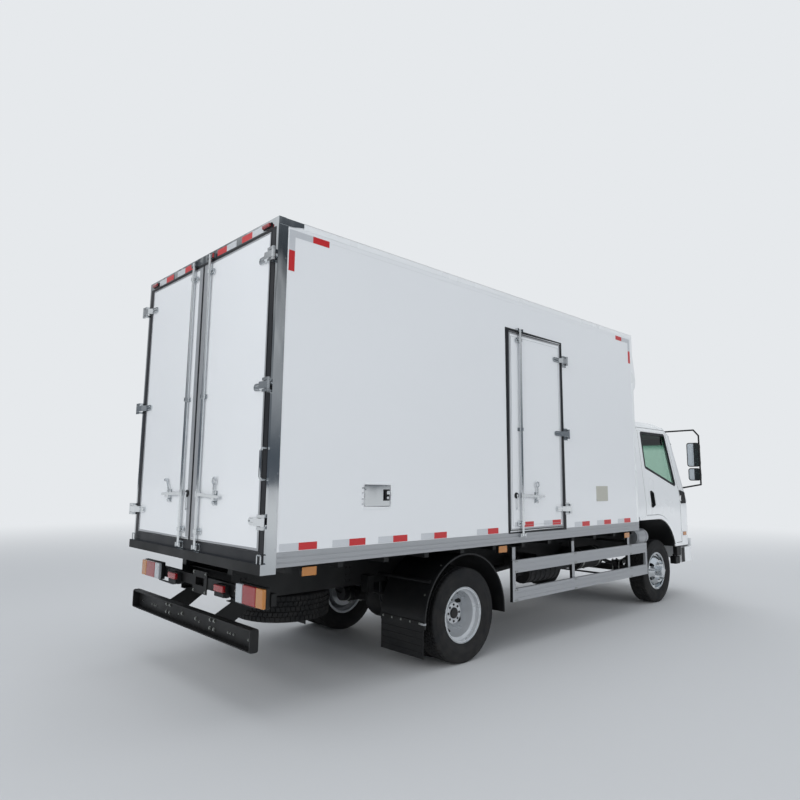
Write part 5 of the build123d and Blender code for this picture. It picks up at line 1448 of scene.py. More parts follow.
@dataclass(frozen=True)
class Lamps:
    """Rear lamps, header markers and side markers, in millimetres.

    Attributes:
        main: Edges of the main unit's parts from the middle outwards.
        main_z: Its heights.
        small: Inner and outer edge of the small unit.
        small_z: Its foot, the foot of its red part and its top.
        markers: Distances of the side markers.
        marker_z: Their heights.
        header: Inner and outer edge of the header markers.
        header_z: Their heights.
    """

    main: tuple[float, ...] = (660.0, 752.0, 932.0, 1030.0)
    main_z: tuple[float, float] = (690.0, 830.0)
    small: tuple[float, float] = (330.0, 480.0)
    small_z: tuple[float, float, float] = (690.0, 728.0, 780.0)
    markers: tuple[float, ...] = (360.0, 2520.0, 4900.0)
    marker_z: tuple[float, float] = (895.0, 955.0)
    header: tuple[float, float] = (930.0, 1040.0)
    header_z: tuple[float, float] = (3322.0, 3358.0)

    def build(self, layout: Layout) -> None:
        """Make all the lamps as one piece.

        Args:
            layout: Places of the truck.
        """
        draft = Draft()
        back, front = layout.rear + 109.7, layout.rear + 50
        looks = (Look.WHITE_LENS, Look.RED_LENS, Look.AMBER_LENS)
        for side in SIDES.values():
            low, high = self.main_z
            draft.box((side * self.main[0], back, low), (side * self.main[-1], front + 26, high), Look.PLASTIC, 6.0)
            for look, start, end in zip(looks, self.main, self.main[1:]):
                draft.box((side * (start + 2), front + 27, low + 5), (side * (end - 1), front, high - 5), look, 7.0)
            foot, middle, top = self.small_z
            near, far = self.small
            draft.box((side * near, back, foot), (side * far, front + 24, top), Look.PLASTIC, 5.0)
            draft.box((side * (near + 4), front + 25, middle), (side * (far - 4), front, top - 3), Look.RED_LENS, 6.0)
            draft.box((side * (near + 4), front + 25, foot + 3), (side * (far - 4), front + 8, middle - 3),
                      Look.PLASTIC, 4.0)
            near, far = self.header
            low, high = self.header_z
            rear = layout.rear
            draft.box((side * near, rear - 0.3, low), (side * far, rear - 7, high), Look.PLASTIC, 2.0)
            draft.box((side * (near + 5), rear - 6, low + 4), (side * (far - 5), rear - 24, high - 4),
                      Look.RED_LENS, 6.0)
        self.side_markers(draft, layout)
        draft.place("lamps_rear", "chassis", "red_lens", ["tail_lamps"])

    def side_markers(self, draft: Draft, layout: Layout) -> None:
        """Amber markers on brackets under the bottom rails.

        Args:
            draft: Draft that it goes into.
            layout: Places of the truck.
        """
        low, high = span("tail_lamps")
        for side in SIDES.values():
            face = side * high.x
            for distance in self.markers:
                y = layout.along(distance)
                foot, top = self.marker_z
                draft.box((face, y - 60, foot), (face - side * 9, y + 60, top), Look.AMBER_LENS, 4.0)
                draft.box((face - side * 8, y - 61, foot - 1), (face - side * 36, y + 61, top + 1), Look.PLASTIC, 3.0)
                draft.box((face - side * 35, y - 15, foot), (face - side * 48, y + 15, 974.5), Look.CHASSIS, 1.0)


@dataclass(frozen=True)
class Door:
    """One door of the box in its own axes: along the wall towards the hinge, up, and outwards.

    Attributes:
        body: CAD body of the door.
        gear: CAD node of its lock rod, handle and straps.
        frame: Matrix from the door's axes to the truck's, in millimetres.
        near: Closing edge.
        far: Hinged edge.
        low: Lower edge.
        high: Upper edge.
        lip: Width of the seal on the closing edge.
        rod: Place of the lock rod.
        handle: Height of the handle.
        guides: Heights of the rod's guides.
        hinge: Place of the hinge axis.
        straps: Heights of the straps.
        strap_long: Length of a strap from the hinge axis.
        eye_side: Side of the rod on which the guides' eyes stand.
        locks: Whether the door has the round lock beside its rod.
        hooked: Whether the catch ends in a bent hook instead of a ring.
        band: Width of the aluminium strip at the closing edge, or 0.
    """

    body: str
    gear: str
    frame: Matrix
    near: float
    far: float
    low: float
    high: float
    lip: float
    rod: float
    handle: float
    guides: tuple[float, ...]
    hinge: float
    straps: tuple[float, ...]
    strap_long: float
    eye_side: int
    locks: bool
    hooked: bool
    band: float

    edge_wide = 18.0
    edge_proud = 1.6
    lip_proud = 5.0
    lip_deep = 14.0
    catch_reach = 255.0

    @property
    def out(self) -> Vector:
        """Direction outwards from the door."""
        return self.frame.to_3x3() @ Vector(Z)

    def panel(self) -> None:
        """The door's skin with its edge profiles and seals."""
        draft = Draft().cad(self.body, Look.PANEL, 2.5)
        wide, proud = self.edge_wide, self.edge_proud
        draft.border(
            self.frame, (self.near + wide / 2, self.low + wide / 2), (self.far - wide / 2, self.high - wide / 2),
            wide, proud, Look.ALUMINIUM,
        )
        if self.band:
            draft.slab(
                self.frame, (self.near + 2, self.low + wide, 0), (self.near + 2 + self.band, self.high - wide, 2.4),
                Look.ALUMINIUM,
            )
        else:
            inset = wide + 22
            draft.border(
                self.frame, (self.near + inset, self.low + inset), (self.far - inset, self.high - inset), 3.0, 1.5,
                Look.ALUMINIUM,
            )
        over = 5.6
        deep, out = -self.lip_deep, self.lip_proud
        for low, high in (
            ((self.near - self.lip, self.low - over, deep), (self.near, self.high + over, out)),
            ((self.far, self.low - over, deep), (self.far + over, self.high + over, out)),
            ((self.near, self.high, deep), (self.far, self.high + over, out)),
            ((self.near, self.low - over, deep), (self.far, self.low, out)),
        ):
            draft.slab(self.frame, low, high, Look.RUBBER)
        self.gasket(draft)
        draft.place(f"panel_{self.body}", self.body, "grp_white", [self.body])

    def gasket(self, draft: Draft) -> None:
        """Two rubber lips round the door's inner face.

        Args:
            draft: Draft that it goes into.
        """
        first, second, out = (self.frame.to_3x3() @ Vector(axis) for axis in (X, Y, Z))
        deep = min((self.frame.inverted() @ corner).z for corner in span(self.body))
        inner = axes(self.frame @ Vector((0, 0, deep)), first, second, -out)
        for inset, wide, proud in ((16.0, 14.0, 9.0), (40.0, 10.0, 5.0)):
            draft.border(
                inner, (self.near + inset, self.low + inset), (self.far - inset, self.high - inset), wide, proud,
                Look.RUBBER,
            )

    def hardware(self) -> None:
        """Lock rod, handle and straps with their bolts, eyes, catch and lock."""
        draft = Draft().cad(self.gear, Look.CHROME, 1.2)
        out = self.out
        small = [(self.rod + step, height, 6.0) for height in self.guides for step in (-31, 31)]
        catch = self.rod + self.catch_reach
        small += [
            (catch + step, self.handle + rise, 5.0) for step in (-27, 27) for rise in (-68, 20)
        ]
        draft.bolts([self.frame @ Vector(point) for point in small], out, 5.0, 4.0, Look.STAINLESS)
        large = []
        for height in self.straps:
            large += [(self.hinge - self.strap_long + 14, height, 11.3)]
            large += [(self.hinge - 0.56 * self.strap_long, height + rise, 15.4) for rise in (-15, 15)]
        draft.bolts([self.frame @ Vector(point) for point in large], out, 6.5, 5.0, Look.STAINLESS)
        for height in (self.guides[0], self.guides[-1]):
            eye = self.frame @ Vector((self.rod + self.eye_side * 38, height, 3.0))
            draft.disc(eye, out, 27.0, 9.0, Look.CHROME, 2.0)
            draft.disc(eye + out * 9.0, out, 15.0, 7.0, Look.CHROME, 3.0)
            draft.disc(eye + out * 16.0, out, 8.0, 0.6, Look.RUBBER, 0.2)
        self.catch(draft, catch)
        if self.locks:
            hub = self.frame @ Vector((self.rod - 72, self.handle, 0.0))
            draft.disc(hub, out, 28.0, 12.0, Look.PLASTIC, 3.0)
            draft.disc(hub + out * 12.0, out, 12.0, 6.0, Look.CHROME, 2.0)
            pin = [(self.rod - 72, self.handle - drop, 15.0) for drop in (8, 112)]
            draft.tube([self.frame @ Vector(point) for point in pin], 5.0, Look.CHROME)
            draft.disc(self.frame @ Vector((self.rod - 72, self.handle - 122, 9.0)), out, 9.0, 10.0, Look.CHROME, 3.0)
        draft.place(f"gear_{self.body}", self.body, "chrome_gear", [self.gear])

    def catch(self, draft: Draft, at: float) -> None:
        """The upright of the handle's catch, with a hook or a ring on it, and the knob under it.

        Args:
            draft: Draft that it goes into.
            at: Place of the upright along the door.
        """
        out = self.out
        stem = 20.0
        if self.hooked:
            corners = [(at, self.handle - 20, stem), (at, self.handle + 45, stem), (at + 34, self.handle + 100, stem),
                       (at + 62, self.handle + 104, stem)]
            draft.tube([self.frame @ Vector(point) for point in corners], 8.0, Look.CHROME, 26.0)
            draft.disc(self.frame @ Vector((at + 62, self.handle + 104, 10.0)), out, 15.0, 20.0, Look.CHROME, 6.0)
        else:
            top = self.handle + 104
            draft.tube(
                [self.frame @ Vector((at, height, stem)) for height in (self.handle - 20, top - 22)], 8.0, Look.CHROME)
            ring = [Vector((at + x, top + y, stem)) for x, y in circle(23.0, 24)]
            draft.tube([self.frame @ point for point in ring], 7.0, Look.CHROME, closed=True)
        knob = self.frame @ Vector((at - 4, self.handle - 58, 5.0))
        draft.disc(knob, out, 15.0, 26.0, Look.CHROME, 8.0)

    def build(self) -> None:
        """Make both pieces of the door."""
        self.panel()
        self.hardware()


@dataclass(frozen=True)
class TapeRun:
    """Blocks of reflective tape, in millimetres.

    Attributes:
        tall: Width of the tape.
        block: Length of a block.
        low: Distances ahead of the box's rear where the red blocks on the wall start.
        low_z: Lower edge of the tape on the wall.
        door: The same on the side door.
        door_z: Lower edge of the tape on the door.
        header: Distances from the middle where blocks on the header start, with their looks.
        header_z: Lower edge of the tape on the header.
        thick: Thickness.
    """

    tall: float = 50.0
    block: float = 153.0
    low: tuple[float, ...] = (253.0, 692.0, 1124.0, 1583.0, 2281.0, 3885.0, 4350.0, 4817.0)
    low_z: float = 1074.0
    door: tuple[float, ...] = (2839.0, 3318.0)
    door_z: float = 1112.0
    header: tuple = (
        (222.0, Look.TAPE_RED), (375.0, Look.TAPE_WHITE), (612.0, Look.TAPE_RED), (765.0, Look.TAPE_WHITE),
    )
    header_z: float = 3318.0
    thick: float = 0.7

    def pair(self, draft: Draft, frame: Matrix, start: float, low: float) -> None:
        """A red block with the white one behind it, along the first axis of a plane."""
        for at, look in ((start - self.block, Look.TAPE_WHITE), (start, Look.TAPE_RED)):
            draft.slab(frame, (at, low, 0), (at + self.block, low + self.tall, self.thick), look)

    def corner(self, draft: Draft, frame: Matrix, edge: float, top: float, away: int) -> None:
        """The L at a top corner: white at the corner and a red block at the end of each leg.

        Args:
            draft: Draft that it goes into.
            frame: Axes of the surface.
            edge: Place of the corner along.
            top: Its height.
            away: Direction of the leg along.
        """
        wide, reach = self.tall, 350.0
        across = [edge, edge + away * 202, edge + away * reach]
        down = [top, top - 152, top - 304]
        looks = (Look.TAPE_WHITE, Look.TAPE_RED)
        for look, start, end in zip(looks, across, across[1:]):
            draft.slab(frame, (start, top - wide, 0), (end, top, self.thick), look)
        for look, start, end in zip(looks, down, down[1:]):
            lower = min(start, top - wide)
            draft.slab(frame, (edge, end, 0), (edge + away * wide, lower, self.thick), look)


class Box:
    """The insulated body: walls, roof, rails, rear frame, doors, hatch and tape."""

    def __init__(self, layout: Layout) -> None:
        """Keep the layout."""
        self.layout = layout
        self.tape = TapeRun()

    def door_list(self) -> list[Door]:
        """The two rear doors and the side door.

        Returns:
            The doors.
        """
        lay = self.layout
        shared = dict(near=10.0, far=1038.0, low=1077.0, high=3291.0, lip=8.4, rod=145.0, handle=1430.0,
                      guides=(1150.0, 2184.0, 3200.0), hinge=1140.0, straps=(1270.0, 2180.0, 3095.0), strap_long=240.0,
                      band=60.0)
        return [
            Door("rear_door_left", "rear_door_gear_left", lay.tail(-1), eye_side=-1, locks=True,
                 hooked=True, **shared),
            Door("rear_door_right", "rear_door_gear_right", lay.tail(1), eye_side=1, locks=False,
                 hooked=False, **shared),
            Door("side_door", "side_door_gear", lay.wall(1), near=2617.0, far=3523.0, low=1092.0,
                 high=3003.0, lip=5.6, rod=2785.0, handle=1413.0, guides=(1150.0, 2047.0, 2930.0), hinge=3596.0,
                 straps=(1270.0, 2045.0, 2830.0), strap_long=215.0, eye_side=-1, locks=True, hooked=False, band=0.0),
        ]

    def shell(self) -> None:
        """Walls, roof and floor rails as they come from the CAD."""
        for node, look, bevel, slot in (
            ("side_wall_left", Look.PANEL, 1.5, "grp_white"), ("side_wall_right", Look.PANEL, 1.5, "grp_white"),
            ("front_wall", Look.PANEL, 1.5, "grp_white"), ("box_roof", Look.PANEL, 1.5, "grp_white"),
            ("bottom_rails", Look.ALUMINIUM, 1.2, "aluminium_rail"), ("wall_hinges", Look.STAINLESS, 1.0, "stainless"),
        ):
            dress(node, look, bevel, slot)

    def frame_look(self, centre: Vector, normal: Vector) -> Optional[Look]:
        """The sill's back is painted; the header and the posts stay polished.

        Args:
            centre: Middle of a face.
            normal: Normal of the face.

        Returns:
            Its look, or None for the main one.
        """
        if normal.y < -0.9 and centre.y < self.layout.rear - 37.5 and centre.z < 1001:
            return Look.CHASSIS
        return None

    def rear_frame(self) -> None:
        """Rear frame with its seals, caps, rivets and the small loops on the sill."""
        lay = self.layout
        draft = Draft().cad("rear_frame", Look.STAINLESS, 2.0, self.frame_look)
        for side in SIDES.values():
            rear = lay.tail(side)
            draft.slab(rear, (1046, 1001, 0), (1096, 3300, 3.0), Look.RUBBER)
            draft.slab(rear, (0, 3300, 0), (1096, 3313, 3.0), Look.RUBBER)
            draft.slab(rear, (0, 1001, 0), (1046, 1069, 3.0), Look.RUBBER)
            draft.slab(rear, (98, 1004, 2), (192, 1060, 6.0), Look.STAINLESS)
            draft.bolts([rear @ Vector((x, 1052, 6)) for x in (108, 182)], BACK, 4.5, 3.5, Look.STAINLESS)
            loop = [(1058, 1000, 24), (1058, 1056, 24), (1104, 1056, 24), (1104, 1000, 24)]
            draft.tube([rear @ Vector(point) for point in loop], 5.0, Look.STAINLESS, 8.0)
            wall = lay.wall(side)
            for index in range(9):
                rivet = wall @ Vector((70, 1090 + 250 * index, 2.0))
                draft.disc(rivet, (side, 0, 0), 5.0, 2.0, Look.STAINLESS, 1.5, 12)
            cap = [(0, 0), (0, -52), (118, -52), (210, -30), (210, 0)]
            draft.prism(
                [(x, lay.top + y) for x, y in cap], axes(wall @ Vector((0, 0, 2)), Y, Z, (side, 0, 0)),
                2.5, Look.STAINLESS)
        draft.slab(axes((0, 0, lay.top), X, Y, Z),
                   (-lay.half - 4, lay.rear, 0), (lay.half + 4, lay.rear + 60, 2.5), Look.STAINLESS)
        draft.place("rear_frame_dressed", "chassis", "stainless", ["rear_frame"])

    def wall_trim(self) -> None:
        """Edge profiles of walls and roof, the side door's seal, rivets and the blank plate."""
        lay = self.layout
        draft = Draft()
        for side in SIDES.values():
            wall = lay.wall(side)
            end = lay.front - lay.rear
            draft.slab(wall, (211, lay.top - 44, 0), (end, lay.top + 2, 2.0), Look.PAINT)
            draft.slab(wall, (end - 46, 1071, 0), (end + 2, lay.top - 44, 2.0), Look.PAINT)
            front = axes((0, lay.front, 0), (side, 0, 0), Z, Y)
            draft.slab(front, (lay.half - 46, 1071, 0), (lay.half, lay.top, 2.0), Look.PAINT)
            draft.slab(front, (0, lay.top - 46, 0), (lay.half - 46, lay.top, 2.0), Look.PAINT)
            draft.slab(front, (0, 980, 0), (lay.half, 1071, 2.0), Look.ALUMINIUM)
            top = axes((0, lay.rear, lay.top), (side, 0, 0), Y, Z)
            draft.slab(top, (lay.half - 60, 61, 0), (lay.half + 2, end + 2, 2.0), Look.PAINT)
            draft.slab(top, (0, end - 60, 0), (lay.half - 60, end + 2, 2.0), Look.PAINT)
            draft.bolts(
                [wall @ Vector((140 + 310 * index, 1054, 3.2)) for index in range(17)], (side, 0, 0), 4.0, 2.4,
                Look.ALUMINIUM)
        draft.place("edge_profiles", "chassis", "grp_white")
        wall = lay.wall(1)
        seal = Draft()
        seal.border(wall, (2597, 1067), (3543, 3026), 26.0, 6.0, Look.RUBBER)
        seal.border(wall, (820, 1340), (1098, 1522), 14.0, 2.5, Look.PANEL)
        seal.place("side_openings_seal", "chassis", "black_plastic")
        plate = Draft()
        plate.slab(wall, (4200, 1333, 0), (4450, 1500, 3.0), Look.PATCH)
        for b in (4214, 4436):
            for z in (1347, 1486):
                plate.disc(wall @ Vector((b, z, 3.0)), X, 4.0, 1.5, Look.ALUMINIUM, 1.0, 12)
        plate.place("blank_plate", "chassis", "grp_white")

    def stick_tape(self) -> None:
        """All the reflective tape on walls, door and header."""
        lay, tape = self.layout, self.tape
        draft = Draft()
        for name, side in SIDES.items():
            wall = lay.wall(side)
            for start in tape.low:
                tape.pair(draft, wall, start, tape.low_z)
            if name == "left":
                for start in (2839.0, 3361.0):
                    tape.pair(draft, wall, start, tape.low_z)
            tape.corner(draft, wall, 92.0, lay.top - 68, 1)
            tape.corner(draft, wall, 5124.0, lay.top - 58, -1)
            rear = lay.tail(side)
            for start, look in tape.header:
                draft.slab(
                    rear, (start, tape.header_z, 0), (start + tape.block, tape.header_z + tape.tall, tape.thick), look)
        draft.place("tape_on_box", "chassis", "grp_white")
        on_door = Draft()
        wall = lay.wall(1)
        for start in tape.door:
            tape.pair(on_door, wall, start, tape.door_z)
        on_door.place("tape_on_side_door", "side_door", "grp_white")

    def hatch(self) -> None:
        """Lid of the small hatch with its paddle latch."""
        draft = Draft().cad("access_hatch", Look.STAINLESS, 1.0)
        wall = self.layout.wall(1)
        draft.slab(wall, (1018, 1392, 0), (1080, 1478, 3.0), Look.PLASTIC)
        draft.slab(wall, (1026, 1400, 3.0), (1044, 1470, 12.0), Look.PLASTIC)
        draft.slab(wall, (1040, 1440, 3.0), (1074, 1466, 16.0), Look.CHROME)
        draft.disc(wall @ Vector((1058, 1414, 3.0)), X, 11.0, 7.0, Look.CHROME, 2.0)
        draft.place("lid_access_hatch", "access_hatch", "stainless", ["access_hatch"])

    def cooler_look(self, centre: Vector, normal: Vector) -> Optional[Look]:
        """The bottoms of the louvres are dark.

        Args:
            centre: Middle of a face.
            normal: Normal of the face.

        Returns:
            Its look, or None for the main one.
        """
        low, high = span("refrigeration_unit")
        deep_front = normal.y > 0.9 and centre.y < high.y - 50 and abs(centre.x) < high.x - 60
        deep_side = abs(normal.x) > 0.9 and abs(centre.x) < high.x - 15 and centre.y < high.y - 150
        return Look.PLASTIC if deep_front or deep_side else None

    def cooler(self) -> None:
        """Refrigeration unit with its seams, latches, hoses and brackets."""
        low, high = span("refrigeration_unit")
        draft = Draft().cad("refrigeration_unit", Look.PAINT, 4.0, self.cooler_look)
        for side in SIDES.values():
            end = axes((side * high.x, low.y, low.z), Y, Z, (side, 0, 0))
            draft.border(end, (40, 190), (360, 500), 4.0, 1.2, Look.RUBBER)
            for at in (60, 340):
                draft.disc(end @ Vector((at, 476, 0)), (side, 0, 0), 11.0, 4.0, Look.ZINC, 1.0)
            draft.slab(end, (0, 20, -60), (-1.5, 560, 26), Look.ALUMINIUM)
            draft.bolts([end @ Vector((0, z, 14)) for z in (60, 280, 520)], Y, 6.0, 4.0, Look.ZINC)
            hose = [(side * 300, low.y + 60, low.z + 4), (side * 300, low.y + 60, low.z - 50),
                    (side * 300, low.y - 6, low.z - 90)]
            draft.tube(hose, 17.0, Look.RUBBER, 34.0)
            draft.disc((side * 300, low.y + 0.5, low.z - 90), Y, 26.0, 8.0, Look.PLASTIC, 2.0)
        draft.slab(axes((0, low.y, high.z), X, Y, Z),
                   (-high.x + 60, 40, 0), (high.x - 60, 300, 3.0), Look.PAINT)
        for x in (-430, 430):
            ring = axes((x, low.y + 170, high.z + 3), X, Y, Z)
            for radius in (20, 45, 70, 95):
                draft.tube([ring @ Vector((a, b, 5)) for a, b in circle(radius, 28)], 2.2, Look.PLASTIC, closed=True,
                           steps=6)
            for turn in range(6):
                angle = math.pi * turn / 6
                arm = Vector((math.cos(angle), math.sin(angle), 0)) * 98
                draft.tube([ring @ (arm + Vector((0, 0, 5))), ring @ (-arm + Vector((0, 0, 5)))], 2.2, Look.PLASTIC,
                           steps=6)
            draft.disc(ring.translation, Z, 102.0, 1.2, Look.PLASTIC, 0.4, 36)
        draft.place("cooler", "chassis", "cab_white", ["refrigeration_unit"])

    def build(self) -> None:
        """Make the whole body."""
        self.shell()
        self.rear_frame()
        for door in self.door_list():
            door.build()
        self.wall_trim()
        self.stick_tape()
        self.hatch()
        self.cooler()


@dataclass(frozen=True)
class CabForm:
    """Outer form of the cab, as the CAD lofts it, in millimetres.

    Attributes:
        sections: Height, distance of the front, half width and corner radius of each level.
        rear: Distance of the cab's rear face.
        wall: Thickness of the shell.
        slope: Direction outwards from the windscreen.
    """

    sections: tuple = (
        (600.0, 6985.0, 1020.0, 190.0), (1280.0, 7030.0, 1020.0, 210.0), (2200.0, 6715.0, 940.0, 210.0),
        (2300.0, 6600.0, 905.0, 200.0), (2355.0, 6430.0, 830.0, 180.0),
    )
    rear: float = 5400.0
    wall: float = 45.0
    slope: tuple[float, float, float] = (0.0, 0.946, 0.324)

    def level(self, z: float) -> tuple[float, float, float]:
        """Front, half width and corner radius at a height.

        Args:
            z: Height.

        Returns:
            Front, half width and corner radius.
        """
        rows = self.sections
        index = max(at for at in range(len(rows) - 1) if at == 0 or rows[at][0] <= z)
        low, high = rows[index], rows[index + 1]
        share = min(max((z - low[0]) / (high[0] - low[0]), 0.0), 1.0)
        front, half, radius = (a + (b - a) * share for a, b in zip(low[1:], high[1:]))
        return front, half, radius

    def face(self, x: float, z: float) -> float:
        """Distance of the front surface at a place across and a height.

        Args:
            x: Place across.
            z: Height.

        Returns:
            The distance.
        """
        front, half, radius = self.level(z)
        over = min(max(abs(x) - (half - radius), 0.0), radius)
        return front - radius + math.sqrt(radius ** 2 - over ** 2)

    def half(self, z: float) -> float:
        """Half width at a height."""
        return self.level(z)[1]

    def inside(self, x: float, b: float, z: float) -> bool:
        """Whether a point lies deeper than half the wall's thickness.

        Args:
            x: Place across.
            b: Distance ahead of the box's rear face.
            z: Height.

        Returns:
            Whether it does.
        """
        deep = self.wall / 2
        return (abs(x) < self.half(z) - deep and self.rear + deep < b < self.face(x, z) - deep
                and z < self.sections[-1][0] - deep)


class Cab:
    """The cab, its doors, glass, interior, mirrors and the bumper under it."""

    def __init__(self, layout: Layout) -> None:
        """Keep the layout."""
        self.layout = layout
        self.form = CabForm()

    def on_side(self, side: int, b: float, z: float, out: float = 0.0) -> Vector:
        """Point on the cab's side, moved outwards."""
        return Vector((side * (self.form.half(z) + out), self.layout.along(b), z))

    def on_front(self, x: float, z: float, out: float = 0.0) -> Vector:
        """Point on the cab's front, moved outwards along the windscreen's normal."""
        normal = Vector(self.form.slope if z > self.form.sections[1][0] else Y)
        return Vector((x, self.layout.along(self.form.face(x, z)), z)) + normal * out

    def side_axes(self, side: int, b: float, z: float) -> Matrix:
        """Axes on the cab's side: forwards, up the slope, and outwards.

        Args:
            side: -1 on the left, 1 on the right.
            b: Distance ahead of the box's rear face.
            z: Height.

        Returns:
            The axes.
        """
        up = (self.on_side(side, b, z + 10) - self.on_side(side, b, z - 10)).normalized()
        out = Vector((side, 0, 0)) - up * up.dot(Vector((side, 0, 0)))
        return axes(self.on_side(side, b, z), Y, up, out)

    def shell_look(self, centre: Vector, normal: Vector) -> Optional[Look]:
        """Dark underside and arches, grey lining inside.

        Args:
            centre: Middle of a face.
            normal: Normal of the face.

        Returns:
            Its look, or None for the main one.
        """
        b = centre.y - self.layout.rear
        if self.form.inside(centre.x, b, centre.z):
            return Look.LINING if centre.z > 1075 else Look.PLASTIC
        if normal.z < -0.3 and centre.z < 1160:
            return Look.PLASTIC
        return None

    def door_look(self, centre: Vector, normal: Vector) -> Optional[Look]:
        """The doors' inner skin."""
        return Look.LINING if self.form.inside(centre.x, centre.y - self.layout.rear, centre.z) else None

    def shell(self) -> None:
        """Cab shell with arch liners, grille screen, rubbers and small trim."""
        lay = self.layout
        draft = Draft().cad("cab_shell", Look.PAINT, 3.5, self.shell_look)
        for x in (-280, 280):
            y = lay.along(6956)
            draft.box((x - 268, y - 6, 950), (x + 268, y, 1112), Look.PLASTIC, 1.0)
        for side in SIDES.values():
            side_place = self.side_axes(side, 6735, 1350)
            outline = rounded([(-76, -92), (78, -92), (78, 60), (-60, 92), (-76, 92)], 14)
            draft.prism(outline, side_place @ Matrix.Translation((0, 0, -1)), 9.0, Look.PLASTIC)
            lamp = self.side_axes(side, 6730, 848)
            draft.slab(lamp, (-52, -30, -1), (52, 30, 5), Look.CHROME)
            draft.slab(lamp, (-44, -23, 4), (44, 23, 11), Look.AMBER_LENS)
            self.steps(draft, side)
            rail = [self.on_side(side, b, 2232, 1.5) for b in (5440, 5600, 6000, 6400)]
            draft.sweep(rail, [(-8, -3), (8, -3), (8, 3), (-8, 3)], Look.PAINT, up=(side, 0, 0.2))
        draft.place("cab_shell_dressed", "cab", "cab_white", ["cab_shell"])

    def steps(self, draft: Draft, side: int) -> None:
        """Black step under the door, ahead of the wheel.

        Args:
            draft: Draft that it goes into.
            side: -1 on the left, 1 on the right.
        """
        lay = self.layout
        draft.box((side * 948, lay.along(6500), 560), (side * 1006, lay.along(6632), 688), Look.PLASTIC, 8.0)
        draft.box((side * 900, lay.along(6505), 445), (side * 985, lay.along(6632), 540), Look.PLASTIC, 8.0)
        draft.box((side * 930, lay.along(6520), 530), (side * 960, lay.along(6620), 575), Look.PLASTIC, 3.0)
        for index in range(5):
            y = lay.along(6516 + 23 * index)
            draft.box((side * 905, y, 538), (side * 982, y + 9, 544), Look.PLASTIC, 1.5)

    def rubbers(self) -> None:
        """Windscreen and rear window rubbers, sun visor and wipers."""
        lay = self.layout
        draft = Draft()
        corners = [(-905, 1345), (905, 1345), (815, 2165), (-815, 2165)]
        outline = subdivided(corners, 12)
        path = [self.on_front(x, z, 0.0) for x, z in outline]
        draft.sweep(path, [(-17, -7), (17, -7), (17, 2), (8, 5), (-8, 5), (-17, 2)], Look.RUBBER, closed=True,
                    up=self.form.slope)
        back = axes((0, lay.along(5400), 0), X, Z, BACK)
        draft.border(back, (-560, 1660), (560, 2140), 30.0, 5.0, Look.RUBBER)
        top = [self.on_front(x, 2150, 26) for x in range(-860, 861, 86)]
        lip = [self.on_front(x, 2060, 96) for x in range(-860, 861, 86)]
        draft.skin([
            [point, edge, edge + Vector((0, 2, -5)), point + Vector((0, 2, -5))] for point, edge in zip(top, lip)
        ], Look.SMOKED)
        for x in (-600, 0, 600):
            draft.tube([self.on_front(x, 2185, -4), self.on_front(x, 2140, 30)], 8.0, Look.PLASTIC, steps=8)
        for pivot, tip in ((-650.0, -110.0), (70.0, 610.0)):
            base = self.on_front(pivot, 1302, 4)
            middle = self.on_front((pivot + tip) / 2, 1378, 12)
            draft.disc(base - Vector((0, 8, 3)), self.form.slope, 20.0, 24.0, Look.PLASTIC, 4.0, 20)
            draft.tube([base + Vector((0, 14, 5)), middle], 7.0, Look.PLASTIC, steps=8)
            blade = [self.on_front(x, 1378, -2) for x in (pivot + 30, (pivot + tip) / 2, tip)]
            section = [(-5, -9), (5, -9), (7, 0), (3, 9), (-3, 9), (-7, 0)]
            draft.sweep(blade, section, Look.RUBBER, up=self.form.slope)
        draft.place("cab_rubbers", "cab", "black_plastic")

    def headlamp(self, draft: Draft, side: int) -> None:
        """Reflectors, bulb and indicator behind one lamp cover.

        Args:
            draft: Draft that it goes into.
            side: -1 on the left, 1 on the right.
        """
        lay = self.layout
        face = lay.along(self.form.face(780, 1020))
        draft.box((side * 622, face - 118, 932), (side * 942, face - 108, 1108), Look.PLASTIC, 2.0)
        for x, radius in ((700, 66), (822, 46)):
            place = axes((side * x, face - 40, 1020), BACK, X)
            bowl = [(66 * (1 - (at / 8) ** 2), 6 + (radius - 6) * at / 8) for at in range(9)]
            draft.lathe(bowl, place, Look.REFLECTOR, steps=40, closed=False)
            draft.lathe([(-1, radius), (-1, radius + 7), (5, radius + 7), (5, radius)], place, Look.CHROME, 40)
            draft.disc((side * x, face - 96, 1020), Y, 9.0, 34.0, Look.WHITE_LENS, 5.0, 16)
        draft.box((side * 884, face - 100, 940), (side * 930, face - 84, 1100), Look.AMBER_LENS, 6.0)
        trims = (((622, 932), (942, 944)), ((622, 1096), (942, 1108)), ((622, 932), (632, 1108)))
        for (low_x, low_z), (high_x, high_z) in trims:
            draft.box((side * low_x, face - 108, low_z), (side * high_x, face - 52, high_z), Look.REFLECTOR, 1.0)

    def lamps(self) -> None:
        """Headlamp covers with what shows behind them."""
        draft = Draft().cad("headlamps", Look.LAMP_COVER, 0.0)
        for side in SIDES.values():
            self.headlamp(draft, side)
        draft.place("headlamps_dressed", "cab", "lamp_lens", ["headlamps"])

    def bumper_look(self, centre: Vector, normal: Vector) -> Optional[Look]:
        """Bottoms of the intake slots and of the lamp recesses, and the arms behind.

        Args:
            centre: Middle of a face.
            normal: Normal of the face.

        Returns:
            Its look, or None for the main one.
        """
        behind = centre.y < self.layout.nose - 46 and abs(centre.x) < 760
        slot = normal.y > 0.9 and self.layout.nose - 44 < centre.y < self.layout.nose - 5
        if slot and abs(centre.x) < 440:
            return Look.PLASTIC
        return Look.CHASSIS if behind or centre.z < 459 else None

